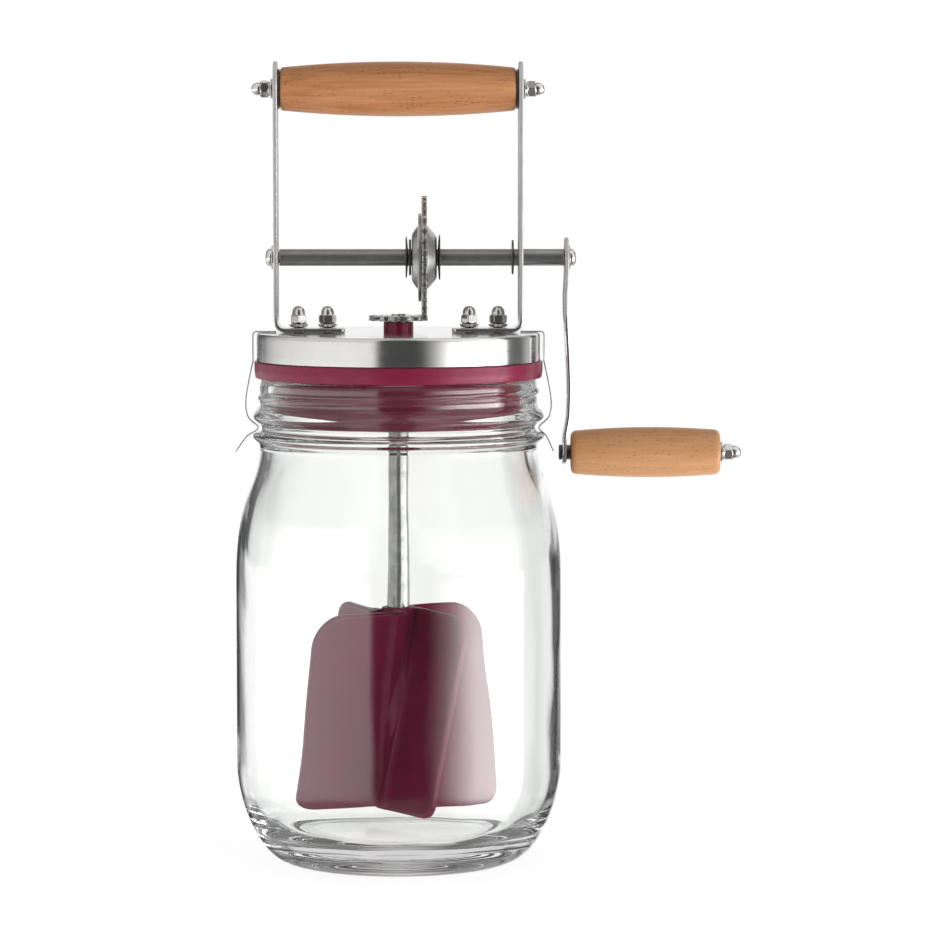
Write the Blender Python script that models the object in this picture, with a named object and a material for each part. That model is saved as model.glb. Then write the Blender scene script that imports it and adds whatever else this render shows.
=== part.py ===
"""A hand-cranked butter churn: a glass jar, and a clipped steel lid that carries a wooden
handle, a crank, a pair of crossed gears and a four-bladed paddle.

Metres, +Z up. Every piece is placed from the jar's axis and the table it stands on. An empty
then shifts the whole churn along X, so that the frame's origin lies under the middle of its
bounding box.
"""

import math

import bmesh
import bpy
from mathutils import Matrix, Vector

# Clearances
SEAT_GAP = 0.00015
RUNNING_GAP = 0.0001
SHOULDER_GAP = 0.0004
THREAD_GAP = 0.0001
HOLE_GAP = 0.0002
RIM_GAP = 0.0003
CUT_OVERRUN = 0.001
MERGE_DISTANCE = 0.000001

# Glass jar
JAR_RADIUS = 0.0577
JAR_HEIGHT = 0.1707
JAR_WALL = 0.0038
JAR_FOOT_RADIUS = 0.0415
JAR_FOOT_WIDTH = 0.003
JAR_HEEL_HEIGHT = 0.033
JAR_FLOOR_THICKNESS = 0.0075
JAR_FLOOR_RADIUS = 0.032
JAR_FLOOR_CROWN = 0.001
JAR_PUSH_UP = 0.003
JAR_PUSH_UP_STEP = 0.0015
JAR_SHOULDER_DROP = 0.0707
JAR_SHOULDER_UPPER_PULL = 0.012
JAR_SHOULDER_LOWER_PULL = 0.030
JAR_NECK_DROP = 0.0237
JAR_NECK_RADIUS = 0.049
JAR_GROOVE_RADIUS = 0.0485
JAR_MOUTH_RADIUS = 0.0454
JAR_RIM_ROUNDING = 0.0012
LOWER_BEAD_DROP = 0.0213
LOWER_BEAD_HALF_HEIGHT = 0.0022
LOWER_BEAD_BULGE = 0.0028
UPPER_BEAD_DROP = 0.0137
UPPER_BEAD_HALF_HEIGHT = 0.0026
UPPER_BEAD_BULGE = 0.0026
THREAD_DROP = 0.0089
THREAD_PITCH = 0.0045
THREAD_RIDGE = 0.0008
THREAD_HALF_WIDTH = 0.0013
THREAD_TURNS = 1.3
THREAD_FADE_TURNS = 0.12
HEEL_POWER = 1.65
INNER_HEEL_POWER = 2.4

# Seal, lid, plug and bush
SEAL_RADIUS = 0.0509
SEAL_INNER_RADIUS = 0.0460
SEAL_THICKNESS = 0.0058
SEAL_TAPER = 0.0008
LID_RADIUS = 0.0501
LID_HEIGHT = 0.00995
LID_SHEET = 0.0007
LID_EDGE_ROUNDING = 0.0012
PLUG_RADIUS = 0.0444
PLUG_RIB = 0.0006
PLUG_RIB_HALF_HEIGHT = 0.0009
PLUG_RIB_DROPS = (0.0092, 0.0047)
PLUG_DEPTH = 0.0143
PLUG_WALL = 0.0026
PLUG_CHAMFER = 0.0010
PLUG_FLANGE = 0.0022
PLUG_BOSS_RADIUS = 0.0090
BUSH_RADIUS = 0.0053
BUSH_FLANGE_RADIUS = 0.0080
BUSH_FLANGE = 0.0015

# Spring clips over the lid's edge
CLIP_STRIP = 0.0004
CLIP_LID_WIDTH = 0.0095
CLIP_TAIL_WIDTH = 0.0040
CLIP_PLATE_LENGTH = 0.0070
CLIP_CORNER_ROUNDING = 0.0012
CLIP_SKIRT_GAP = 0.0002
CLIP_BOW = 0.0024
CLIP_PINCH_GAP = 0.0010
CLIP_TAIL_DROP = 0.0087
CLIP_TAIL_FLARE_LEFT = 0.0062
CLIP_TAIL_FLARE_RIGHT = 0.0033
CLIP_SPRING_SHARE = 0.6
CLIP_TURN_SHARE = 0.2
CLIP_TAIL_SHARE = 0.36

# Brackets and their fasteners
BAR_THICKNESS = 0.0015
BAR_WIDTH = 0.016
BAR_BEND_RADIUS = 0.0032
BAR_TOP_REACH = 0.0097
BAR_CORNER = 0.0015
BRACKET_INNER = 0.04235
FOOT_END = 0.0188
FOOT_BOLT_PLACES = (0.0250, 0.0352)
BOLT_RADIUS = 0.0015
BOLT_HEAD_RADIUS = 0.0028
BOLT_HEAD = 0.0016
WASHER_RADIUS = 0.0036
WASHER_THICKNESS = 0.0008
NUT_FLATS = 0.0055
NUT_HEX_HEIGHT = 0.0034
NUT_DOME_HEIGHT = 0.0032
NUT_DOME_RADIUS = 0.0024
NUT_CHAMFER = 0.0003
NUT_BORE_DEPTH = 0.0045

# Handle
HANDLE_HEIGHT = 0.08545
HANDLE_RADIUS = 0.0096
HANDLE_END_RADIUS = 0.00765
HANDLE_END_ROUNDING = 0.0010
HANDLE_DISC_RADIUS = 0.0070
HANDLE_DISC = 0.00065

# Axle, drive gear and hub
AXLE_HEIGHT = 0.02635
AXLE_RADIUS = 0.0030
JOURNAL_RADIUS = 0.0020
CAP_LENGTH = 0.0026
CAP_FLANGE = 0.0004
CAP_FLANGE_RADIUS = 0.0043
CAP_DOME_RADIUS = 0.0032
CAP_WALL = 0.0007
AXLE_CLIP_PLACE = 0.0400
AXLE_CLIP_RADIUS = 0.0062
CLIP_THICKNESS = 0.0006
TOOTH_PITCH = 0.0044
GEAR_TEETH = 30
PINION_TEETH = 13
GEAR_ADDENDUM = 0.0006
GEAR_TOOTH_DEPTH = 0.0020
GEAR_DIP = 0.00115
GEAR_THICKNESS = 0.0018
PINION_ADDENDUM = 0.0014
PINION_TOOTH_DEPTH = 0.0027
TOOTH_BASE_SHARE = 0.48
TOOTH_TIP_SHARE = 0.30
BACKING_DISC_RADIUS = 0.0156
BACKING_DISC = 0.0010
HUB_LEFT_LENGTH = 0.0021
HUB_LEFT_RADIUS = 0.0082
HUB_RIGHT_LENGTH = 0.0033
HUB_RIGHT_RADIUS = 0.0075
HUB_RIM_RADIUS = 0.0113
HUB_GAP = 0.0002
HUB_WASHER_RADIUS = 0.0064
HUB_CLIP_LEFT_RADIUS = 0.0073
HUB_CLIP_RIGHT_RADIUS = 0.0080

# Crank arm and knob
ARM_PLANE = 0.0593
ARM_THICKNESS = 0.0014
ARM_AXLE_HALF_WIDTH = 0.0070
ARM_KNOB_HALF_WIDTH = 0.0043
CRANK_RADIUS = 0.0690
ARM_BEND = 0.0010
ARM_DROP_SHARES = (0.07, 0.21, 0.69, 0.78, 0.94)
ARM_BEND_SHARES = (0.0, -0.4, 0.9, 0.75, -0.6)
KNOB_LENGTH = 0.0528
KNOB_RADIUS = 0.0089
KNOB_INNER_RADIUS = 0.00775
KNOB_OUTER_RADIUS = 0.0080
KNOB_ROUNDING = 0.0020
KNOB_SPACER_RADIUS = 0.0026
KNOB_SPACER_LENGTH = 0.0013
KNOB_BOLT_RADIUS = 0.0019
KNOB_BOLT_HEAD_RADIUS = 0.0027
KNOB_BOLT_HEAD = 0.0011

# Dasher
SHAFT_RADIUS = 0.00375
SHAFT_SPIGOT_RADIUS = 0.0025
SHAFT_SPIGOT_HEAD = 0.0006
CIRCLIP_RADIUS = 0.0060
CIRCLIP_THICKNESS = 0.0010
PADDLE_BOTTOM = 0.0180
PADDLE_HEIGHT = 0.0715
PADDLE_RADIUS = 0.0370
PADDLE_HUB_RADIUS = 0.00575
PADDLE_SOCKET_FLOOR = 0.0125
BLADE_THICKNESS = 0.0025
BLADE_TOP_ROUNDING = 0.0120
BLADE_BOTTOM_ROUNDING = 0.0060
BLADE_COUNT = 4
BLADE_PITCH = math.radians(12)
PADDLE_TURN = math.radians(-62)

# Facets
JAR_STEPS = 40
LID_STEPS = 40
ROD_STEPS = 20
SMALL_STEPS = 16
NUT_STEPS = 12
ARM_STEPS = 18

# Places that follow from the sizes above; each drop is counted down from the jar's rim
JAR_SHOULDER_START = JAR_HEIGHT - JAR_SHOULDER_DROP
JAR_NECK_START = JAR_HEIGHT - JAR_NECK_DROP
LOWER_BEAD_HEIGHT = JAR_HEIGHT - LOWER_BEAD_DROP
UPPER_BEAD_HEIGHT = JAR_HEIGHT - UPPER_BEAD_DROP
THREAD_START = JAR_HEIGHT - THREAD_DROP
PLUG_BOTTOM = JAR_HEIGHT - PLUG_DEPTH
SEAL_BASE = JAR_HEIGHT + RIM_GAP
LID_BASE = SEAL_BASE + SEAL_THICKNESS + SEAT_GAP
LID_TOP = LID_BASE + LID_HEIGHT
FOOT_TOP = LID_TOP + SEAT_GAP + BAR_THICKNESS
HANDLE_Z = LID_TOP + HANDLE_HEIGHT
AXLE_Z = LID_TOP + AXLE_HEIGHT
KNOB_Z = AXLE_Z - CRANK_RADIUS
GEAR_CONTACT_RADIUS = GEAR_TEETH * TOOTH_PITCH / math.tau
PINION_CONTACT_RADIUS = PINION_TEETH * TOOTH_PITCH / math.tau
GEAR_TIP_RADIUS = GEAR_CONTACT_RADIUS + GEAR_ADDENDUM
PINION_TOP = AXLE_Z - GEAR_TIP_RADIUS + GEAR_DIP
PINION_BASE = PINION_TOP - GEAR_THICKNESS
BUSH_TOP = PINION_BASE - SHOULDER_GAP
BUSH_FLANGE_TOP = PLUG_BOTTOM - SEAT_GAP
BUSH_BASE = BUSH_FLANGE_TOP - BUSH_FLANGE
BRACKET_OUTER = BRACKET_INNER + BAR_THICKNESS
ARM_INNER = ARM_PLANE - ARM_THICKNESS / 2
NUT_HEIGHT = NUT_HEX_HEIGHT + NUT_DOME_HEIGHT
KNOB_ARM_X = ARM_PLANE + ARM_BEND * ARM_BEND_SHARES[-1]
KNOB_ARM_OUTER = KNOB_ARM_X + ARM_THICKNESS / 2 + SEAT_GAP
KNOB_START = KNOB_ARM_OUTER + KNOB_SPACER_LENGTH + SEAT_GAP
KNOB_END = KNOB_START + KNOB_LENGTH
KNOB_NUT_START = KNOB_END + SEAT_GAP + WASHER_THICKNESS + SEAT_GAP
CHURN_SHIFT = -(KNOB_NUT_START + NUT_HEIGHT - JAR_RADIUS) / 2

ALONG_X = (0, math.pi / 2, 0)

# Colour, roughness and metallic value of each finish
FINISHES = {
    "clear glass": ((0.88, 0.93, 0.92), 0.03, 0.0),
    "polished steel": ((0.62, 0.62, 0.61), 0.16, 1.0),
    "dark steel": ((0.20, 0.20, 0.20), 0.35, 1.0),
    "spring steel": ((0.50, 0.51, 0.51), 0.22, 1.0),
    "maroon plastic": ((0.19, 0.03, 0.06), 0.28, 0.0),
    "maroon rubber": ((0.27, 0.05, 0.10), 0.45, 0.0),
    "oiled beech": ((0.56, 0.30, 0.12), 0.45, 0.0),
}


# Scene helpers

def clear_scene():
    for old in list(bpy.data.objects):
        bpy.data.objects.remove(old, do_unlink=True)


def add_empty(name, parent, at):
    empty = bpy.data.objects.new(name, None)
    bpy.context.scene.collection.objects.link(empty)
    empty.parent = parent
    empty.location = at
    return empty


def finish_material(name, finish):
    colour, roughness, metallic = FINISHES[finish]
    material = bpy.data.materials.new(name)
    material.use_nodes = True
    shader = material.node_tree.nodes["Principled BSDF"]
    shader.inputs["Base Color"].default_value = (*colour, 1.0)
    shader.inputs["Roughness"].default_value = roughness
    shader.inputs["Metallic"].default_value = metallic
    return material


def add_piece(name, mesh, finish, parent, at=(0, 0, 0), turn=(0, 0, 0)):
    """One sub-part: its own object, with its own material, placed under its parent."""
    piece = bpy.data.objects.new(name, mesh)
    bpy.context.scene.collection.objects.link(piece)
    piece.parent = parent
    piece.location = at
    piece.rotation_euler = turn
    if not mesh.materials:
        mesh.materials.append(None)
    piece.material_slots[0].link = "OBJECT"
    piece.material_slots[0].material = finish_material(name, finish)
    return piece


def add_tool(name, mesh, parent, at=(0, 0, 0), turn=(0, 0, 0)):
    """A shape that only cuts or joins another one."""
    tool = bpy.data.objects.new(name, mesh)
    bpy.context.scene.collection.objects.link(tool)
    tool.parent = parent
    tool.location = at
    tool.rotation_euler = turn
    tool.hide_render = True
    tool.display_type = "WIRE"
    return tool


def combine(piece, tool, operation):
    step = piece.modifiers.new(tool.name, "BOOLEAN")
    step.operation = operation
    step.object = tool


def drill(piece, name, radius, length, at, turn=(0, 0, 0)):
    """Bores a round hole that starts at a place and runs along the turned Z axis."""
    outline = [(0, -CUT_OVERRUN), (radius, -CUT_OVERRUN)]
    outline += [(radius, length + CUT_OVERRUN), (0, length + CUT_OVERRUN)]
    mesh = turned_mesh(name, outline, SMALL_STEPS)
    combine(piece, add_tool(name, mesh, piece.parent, at, turn), "DIFFERENCE")


# Shape helpers

def finished(name, shape):
    """Turns a bmesh into a closed, outward facing and smoothly shaded mesh."""
    bmesh.ops.remove_doubles(shape, verts=shape.verts, dist=MERGE_DISTANCE)
    bmesh.ops.recalc_face_normals(shape, faces=shape.faces)
    mesh = bpy.data.meshes.new(name)
    shape.to_mesh(mesh)
    shape.free()
    mesh.shade_smooth()
    mesh.set_sharp_from_angle(angle=math.radians(35))
    return mesh


def turned_shape(outline, steps):
    """Spins an outline of (radius, height) points about Z, as on a lathe."""
    shape = bmesh.new()
    corners = [shape.verts.new((radius, 0, height)) for radius, height in outline]
    ends = list(zip(corners, corners[1:]))
    if outline[0][0] or outline[-1][0]:
        ends.append((corners[-1], corners[0]))
    edges = [shape.edges.new(pair) for pair in ends]
    bmesh.ops.spin(
        shape, geom=corners + edges, cent=(0, 0, 0), axis=(0, 0, 1),
        angle=math.tau, steps=steps, use_merge=True,
    )
    return shape


def turned_mesh(name, outline, steps):
    return finished(name, turned_shape(outline, steps))


def ring_outline(inner, outer, length):
    return [(inner, 0), (outer, 0), (outer, length), (inner, length)]


def plate_mesh(name, outline, thickness):
    """A flat plate: an outline of (x, y) points, extruded along Z."""
    shape = bmesh.new()
    face = shape.faces.new([shape.verts.new((x, y, 0)) for x, y in outline])
    raised = bmesh.ops.extrude_face_region(shape, geom=[face])["geom"]
    lifted = [item for item in raised if isinstance(item, bmesh.types.BMVert)]
    bmesh.ops.translate(shape, verts=lifted, vec=(0, 0, thickness))
    return finished(name, shape)


def strip_mesh(name, path, half_widths, thickness):
    """A flat bar bent along a path of (x, z) points, with its width along Y."""
    shape = bmesh.new()
    rings = []
    for index, (x, z) in enumerate(path):
        before = Vector(path[max(index - 1, 0)])
        after = Vector(path[min(index + 1, len(path) - 1)])
        along = (after - before).normalized()
        out = Vector((along.y, -along.x)) * thickness / 2
        wide = half_widths[index]
        corners = ((1, wide), (1, -wide), (-1, -wide), (-1, wide))
        rings.append([
            shape.verts.new((x + side * out.x, across, z + side * out.y))
            for side, across in corners
        ])
    for ring, following in zip(rings, rings[1:]):
        for corner in range(len(ring)):
            beside = (corner + 1) % len(ring)
            shape.faces.new((ring[corner], ring[beside], following[beside], following[corner]))
    shape.faces.new(rings[0])
    shape.faces.new(reversed(rings[-1]))
    return finished(name, shape)


def smooth_through(points, steps):
    """A smooth curve through 2D points, with so many steps between each pair."""
    knots = [Vector(point) for point in points]
    knots = [2 * knots[0] - knots[1]] + knots + [2 * knots[-1] - knots[-2]]
    curve = []
    for before, start, end, after in zip(knots, knots[1:], knots[2:], knots[3:]):
        for step in range(steps):
            t = step / steps
            pull_in = (end - before) / 2
            pull_out = (after - start) / 2
            curve.append(
                start * (2 * t**3 - 3 * t**2 + 1) + end * (3 * t**2 - 2 * t**3)
                + pull_in * (t**3 - 2 * t**2 + t) + pull_out * (t**3 - t**2)
            )
    curve.append(knots[-2])
    return [(point.x, point.y) for point in curve]


def arc(centre, radii, start, end, steps):
    """Points along an elliptical arc, with its angles in degrees."""
    points = []
    for step in range(steps + 1):
        angle = math.radians(start + (end - start) * step / steps)
        points.append((
            centre[0] + radii[0] * math.cos(angle),
            centre[1] + radii[1] * math.sin(angle),
        ))
    return points


def barrel_outline(length, bore, ends, middle, rounding, steps=8):
    """A turned wooden grip: a slightly swollen barrel with rounded ends and a bore."""
    start, end = ends
    outline = [(bore, 0), (start - rounding, 0)]
    for step in range(steps + 1):
        share = step / steps
        straight = start + (end - start) * share
        swell = (middle - (start + end) / 2) * (1 - (2 * share - 1) ** 2)
        outline.append((straight + swell, rounding + (length - 2 * rounding) * share))
    return outline + [(end - rounding, length), (bore, length)]


# Jar

def heel_points(foot, wide, low, high, power, steps):
    """The heel's curve from its foot up to the wall, a superellipse."""
    points = []
    for step in range(1, steps + 1):
        angle = math.pi / 2 * step / steps
        across = math.sin(angle) ** (2 / power)
        down = math.cos(angle) ** (2 / power)
        points.append((foot + (wide - foot) * across, high - (high - low) * down))
    return points


def shoulder_points(inset, steps):
    """The shoulder's curve from the wall up to the neck, moved in by an inset."""
    wide = JAR_RADIUS - inset
    narrow = JAR_NECK_RADIUS - inset
    heights = (
        JAR_SHOULDER_START,
        JAR_SHOULDER_START + JAR_SHOULDER_LOWER_PULL,
        JAR_NECK_START - JAR_SHOULDER_UPPER_PULL,
        JAR_NECK_START,
    )
    points = []
    for step in range(steps + 1):
        t = step / steps
        weights = ((1 - t) ** 3, 3 * (1 - t) ** 2 * t, 3 * (1 - t) * t**2, t**3)
        height = sum(weight * place for weight, place in zip(weights, heights))
        radius = wide * (weights[0] + weights[1]) + narrow * (weights[2] + weights[3])
        points.append((radius, height))
    return points


def bead_points(height, half_height, base, bulge):
    return arc((base, height), (bulge, half_height), -90, 90, 5)


def thread_ridge(height, angle):
    """How far the screw thread stands out at a height and an angle on the neck."""
    ridge = 0
    for turn in range(math.ceil(THREAD_TURNS) + 1):
        wound = angle / math.tau + turn
        if wound > THREAD_TURNS:
            continue
        fade = min(1, wound / THREAD_FADE_TURNS, (THREAD_TURNS - wound) / THREAD_FADE_TURNS)
        away = (height - THREAD_START - THREAD_PITCH * wound) / THREAD_HALF_WIDTH
        ridge = max(ridge, THREAD_RIDGE * fade * (1 - away**2))
    return ridge


def jar_mesh():
    inner_radius = JAR_RADIUS - JAR_WALL
    foot_inner = JAR_FOOT_RADIUS - JAR_FOOT_WIDTH
    neck_top = JAR_HEIGHT - JAR_RIM_ROUNDING
    thread_bottom = UPPER_BEAD_HEIGHT + UPPER_BEAD_HALF_HEIGHT
    thread_rows = 7

    outline = [(0, JAR_PUSH_UP), (foot_inner - JAR_PUSH_UP_STEP, JAR_PUSH_UP_STEP)]
    outline += [(foot_inner, 0), (JAR_FOOT_RADIUS, 0)]
    outline += heel_points(JAR_FOOT_RADIUS, JAR_RADIUS, 0, JAR_HEEL_HEIGHT, HEEL_POWER, 8)
    outline += shoulder_points(0, 8)
    outline += bead_points(LOWER_BEAD_HEIGHT, LOWER_BEAD_HALF_HEIGHT, JAR_NECK_RADIUS, LOWER_BEAD_BULGE)
    outline += [(JAR_GROOVE_RADIUS, (LOWER_BEAD_HEIGHT + UPPER_BEAD_HEIGHT) / 2)]
    outline += bead_points(UPPER_BEAD_HEIGHT, UPPER_BEAD_HALF_HEIGHT, JAR_NECK_RADIUS, UPPER_BEAD_BULGE)
    for row in range(1, thread_rows + 1):
        outline.append((JAR_NECK_RADIUS, thread_bottom + (neck_top - thread_bottom) * row / thread_rows))
    rim_centre = (JAR_NECK_RADIUS - JAR_RIM_ROUNDING, neck_top)
    outline += arc(rim_centre, (JAR_RIM_ROUNDING, JAR_RIM_ROUNDING), 30, 90, 2)
    outline += [(JAR_MOUTH_RADIUS + JAR_RIM_ROUNDING, JAR_HEIGHT), (JAR_MOUTH_RADIUS, neck_top)]
    outline += reversed(shoulder_points(JAR_WALL, 7))
    floor = (JAR_FLOOR_RADIUS, inner_radius, JAR_FLOOR_THICKNESS, JAR_HEEL_HEIGHT)
    outline += reversed(heel_points(*floor, INNER_HEEL_POWER, 7))
    outline += [(JAR_FLOOR_RADIUS, JAR_FLOOR_THICKNESS)]
    outline += [(0, JAR_FLOOR_THICKNESS + JAR_FLOOR_CROWN)]

    shape = turned_shape(outline, JAR_STEPS)
    for point in shape.verts:
        radius = math.hypot(point.co.x, point.co.y)
        on_neck = thread_bottom < point.co.z < neck_top and radius > JAR_NECK_RADIUS - MERGE_DISTANCE
        if on_neck:
            angle = math.atan2(point.co.y, point.co.x) % math.tau
            grown = (radius + thread_ridge(point.co.z, angle)) / radius
            point.co.x *= grown
            point.co.y *= grown
    return finished("glass_jar", shape)


# Lid

def lid_cap_mesh():
    inside = LID_RADIUS - LID_SHEET
    corner = LID_EDGE_ROUNDING - LID_SHEET
    outline = [(0, LID_HEIGHT - LID_SHEET)]
    outline += reversed(arc((inside - corner, LID_HEIGHT - LID_EDGE_ROUNDING), (corner, corner), 0, 90, 2))
    outline += [(inside, 0), (LID_RADIUS, 0)]
    rounding = (LID_EDGE_ROUNDING, LID_EDGE_ROUNDING)
    outline += arc((LID_RADIUS - LID_EDGE_ROUNDING, LID_HEIGHT - LID_EDGE_ROUNDING), rounding, 0, 90, 3)
    outline += [(0, LID_HEIGHT)]
    return turned_mesh("lid_cap", outline, LID_STEPS)


def seal_mesh():
    outline = [(SEAL_INNER_RADIUS, 0), (SEAL_RADIUS - SEAL_TAPER, 0), (SEAL_RADIUS, SEAL_THICKNESS / 2)]
    outline += [(SEAL_RADIUS, SEAL_THICKNESS), (SEAL_INNER_RADIUS, SEAL_THICKNESS)]
    return turned_mesh("seal_ring", outline, LID_STEPS)


def plug_mesh():
    """A moulded cup, open at the top under the lid, with a bored boss in its middle."""
    bore = BUSH_RADIUS + HOLE_GAP
    ceiling = LID_TOP - LID_SHEET - SEAT_GAP
    collar = SEAL_INNER_RADIUS - HOLE_GAP
    crown = LID_RADIUS - LID_SHEET - HOLE_GAP
    crown_base = LID_BASE + SEAT_GAP
    hollow = PLUG_RADIUS - PLUG_WALL
    floor = PLUG_BOTTOM + PLUG_WALL
    outline = [(bore, ceiling), (bore, PLUG_BOTTOM), (PLUG_RADIUS - PLUG_CHAMFER, PLUG_BOTTOM)]
    outline += [(PLUG_RADIUS, PLUG_BOTTOM + PLUG_CHAMFER)]
    for drop in PLUG_RIB_DROPS:
        height = JAR_HEIGHT - drop
        outline += [(PLUG_RADIUS, height - PLUG_RIB_HALF_HEIGHT), (PLUG_RADIUS + PLUG_RIB, height)]
        outline += [(PLUG_RADIUS, height + PLUG_RIB_HALF_HEIGHT)]
    outline += [(PLUG_RADIUS, JAR_HEIGHT - PLUG_CHAMFER), (collar, SEAL_BASE), (collar, crown_base)]
    outline += [(crown, crown_base), (crown, ceiling), (crown - PLUG_WALL, ceiling)]
    outline += [(crown - PLUG_WALL, crown_base + PLUG_FLANGE), (hollow, crown_base + PLUG_FLANGE)]
    outline += [(hollow, floor), (PLUG_BOSS_RADIUS, floor), (PLUG_BOSS_RADIUS, ceiling)]
    return turned_mesh("lid_plug", outline, LID_STEPS)


def bush_mesh():
    bore = SHAFT_RADIUS + RUNNING_GAP
    outline = [(bore, BUSH_BASE), (BUSH_FLANGE_RADIUS, BUSH_BASE), (BUSH_FLANGE_RADIUS, BUSH_FLANGE_TOP)]
    outline += [(BUSH_RADIUS, BUSH_FLANGE_TOP), (BUSH_RADIUS, BUSH_TOP), (bore, BUSH_TOP)]
    return turned_mesh("lid_bush", outline, ROD_STEPS)


def clip_mesh(name, side, flare):
    """A spring strip: over the lid's edge, bowed past the upper bead, pinched in and flared."""
    half = CLIP_STRIP / 2
    top = LID_TOP + SEAT_GAP + half
    wall = SEAL_RADIUS + CLIP_SKIRT_GAP + half
    bead = JAR_NECK_RADIUS + UPPER_BEAD_BULGE
    bow = bead + CLIP_BOW
    pinch = JAR_GROOVE_RADIUS + CLIP_PINCH_GAP + half
    groove = (LOWER_BEAD_HEIGHT + UPPER_BEAD_HEIGHT) / 2
    tail = bead + flare
    bow_height = UPPER_BEAD_HEIGHT + 2 * UPPER_BEAD_HALF_HEIGHT
    path = [(LID_RADIUS - CLIP_PLATE_LENGTH, top), (wall - 2 * CLIP_CORNER_ROUNDING, top)]
    corner = (wall - CLIP_CORNER_ROUNDING, top - CLIP_CORNER_ROUNDING)
    path += reversed(arc(corner, (CLIP_CORNER_ROUNDING, CLIP_CORNER_ROUNDING), 0, 90, 3))
    spring = [
        (wall, LID_BASE),
        (wall + (bow - wall) * CLIP_SPRING_SHARE, (LID_BASE + bow_height) / 2),
        (bow, bow_height),
        (bow - (bow - pinch) * CLIP_TURN_SHARE, UPPER_BEAD_HEIGHT),
        (pinch, groove),
        ((pinch + tail) / 2, groove - CLIP_TAIL_DROP * CLIP_TAIL_SHARE),
        (tail, groove - CLIP_TAIL_DROP),
    ]
    top_points = len(path)
    path += smooth_through(spring, 3)
    half_widths = []
    for index in range(len(path)):
        share = min(1, 2 * max(0, index - top_points) / (len(path) - 1 - top_points))
        half_widths.append((CLIP_LID_WIDTH + (CLIP_TAIL_WIDTH - CLIP_LID_WIDTH) * share) / 2)
    return strip_mesh(name, [(side * x, z) for x, z in path], half_widths, CLIP_STRIP)


# Frame, handle and fasteners

def bracket_mesh(name, side):
    """A flat bar with a rounded top, bent inwards into a foot that lies on the lid."""
    across = BRACKET_INNER + BAR_THICKNESS / 2
    half = BAR_WIDTH / 2
    top = HANDLE_Z + BAR_TOP_REACH
    foot = LID_TOP + SEAT_GAP + BAR_THICKNESS / 2
    path, half_widths = [], []
    for angle in (80, 60, 40, 20, 0):
        path.append((across, top - half + half * math.sin(math.radians(angle))))
        half_widths.append(half * math.cos(math.radians(angle)))
    bend = (across - BAR_BEND_RADIUS, foot + BAR_BEND_RADIUS)
    turned = arc(bend, (BAR_BEND_RADIUS, BAR_BEND_RADIUS), 0, -90, 4)
    path += turned + [(FOOT_END + BAR_CORNER, foot), (FOOT_END, foot)]
    half_widths += [half] * (len(turned) + 1) + [half - BAR_CORNER]
    return strip_mesh(name, [(side * x, z) for x, z in path], half_widths, BAR_THICKNESS)


def acorn_nut_mesh(parent):
    """A hexagon with chamfered corners under a dome, threaded from below."""
    corner = NUT_FLATS / math.sqrt(3)
    flat = NUT_FLATS / 2
    outline = [(0, 0), (flat, 0), (corner, NUT_CHAMFER), (corner, NUT_HEX_HEIGHT - NUT_CHAMFER)]
    outline += [(flat, NUT_HEX_HEIGHT)]
    dome = arc((0, NUT_HEX_HEIGHT), (NUT_DOME_RADIUS, NUT_DOME_HEIGHT), 0, 90, 4)
    outline += dome[:-1] + [(0, NUT_HEIGHT)]
    nut = add_tool("nut_blank", turned_mesh("nut_blank", outline, NUT_STEPS), parent)
    hexagon = [(corner * math.cos(turn), corner * math.sin(turn))
               for turn in (math.tau * index / 6 for index in range(6))]
    prism = plate_mesh("nut_hexagon", hexagon, NUT_HEIGHT + 2 * CUT_OVERRUN)
    combine(nut, add_tool("nut_hexagon", prism, parent, (0, 0, -CUT_OVERRUN)), "INTERSECT")
    bore = [(0, -CUT_OVERRUN), (BOLT_RADIUS + THREAD_GAP, -CUT_OVERRUN)]
    bore += [(BOLT_RADIUS + THREAD_GAP, NUT_BORE_DEPTH), (0, NUT_BORE_DEPTH)]
    drilled = turned_mesh("nut_bore", bore, NUT_STEPS)
    combine(nut, add_tool("nut_bore", drilled, parent), "DIFFERENCE")
    bpy.context.view_layer.update()
    graph = bpy.context.evaluated_depsgraph_get()
    mesh = bpy.data.meshes.new_from_object(nut.evaluated_get(graph))
    mesh.name = "acorn_nut"
    return mesh


def cap_mesh(name):
    """A push-on cap: a thin flange and a dome, bored for the journal."""
    bore = JOURNAL_RADIUS + THREAD_GAP
    outline = [(bore, 0), (CAP_FLANGE_RADIUS, 0), (CAP_FLANGE_RADIUS, CAP_FLANGE)]
    dome = arc((0, CAP_FLANGE), (CAP_DOME_RADIUS, CAP_LENGTH - CAP_FLANGE), 0, 90, 4)
    outline += dome[:-1] + [(0, CAP_LENGTH), (0, CAP_LENGTH - CAP_WALL), (bore, CAP_LENGTH - CAP_WALL)]
    return turned_mesh(name, outline, SMALL_STEPS)


def add_ring(name, inner, outer, length, finish, parent, at, turn=(0, 0, 0), steps=SMALL_STEPS):
    mesh = turned_mesh(name, ring_outline(inner, outer, length), steps)
    return add_piece(name, mesh, finish, parent, at, turn)


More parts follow.
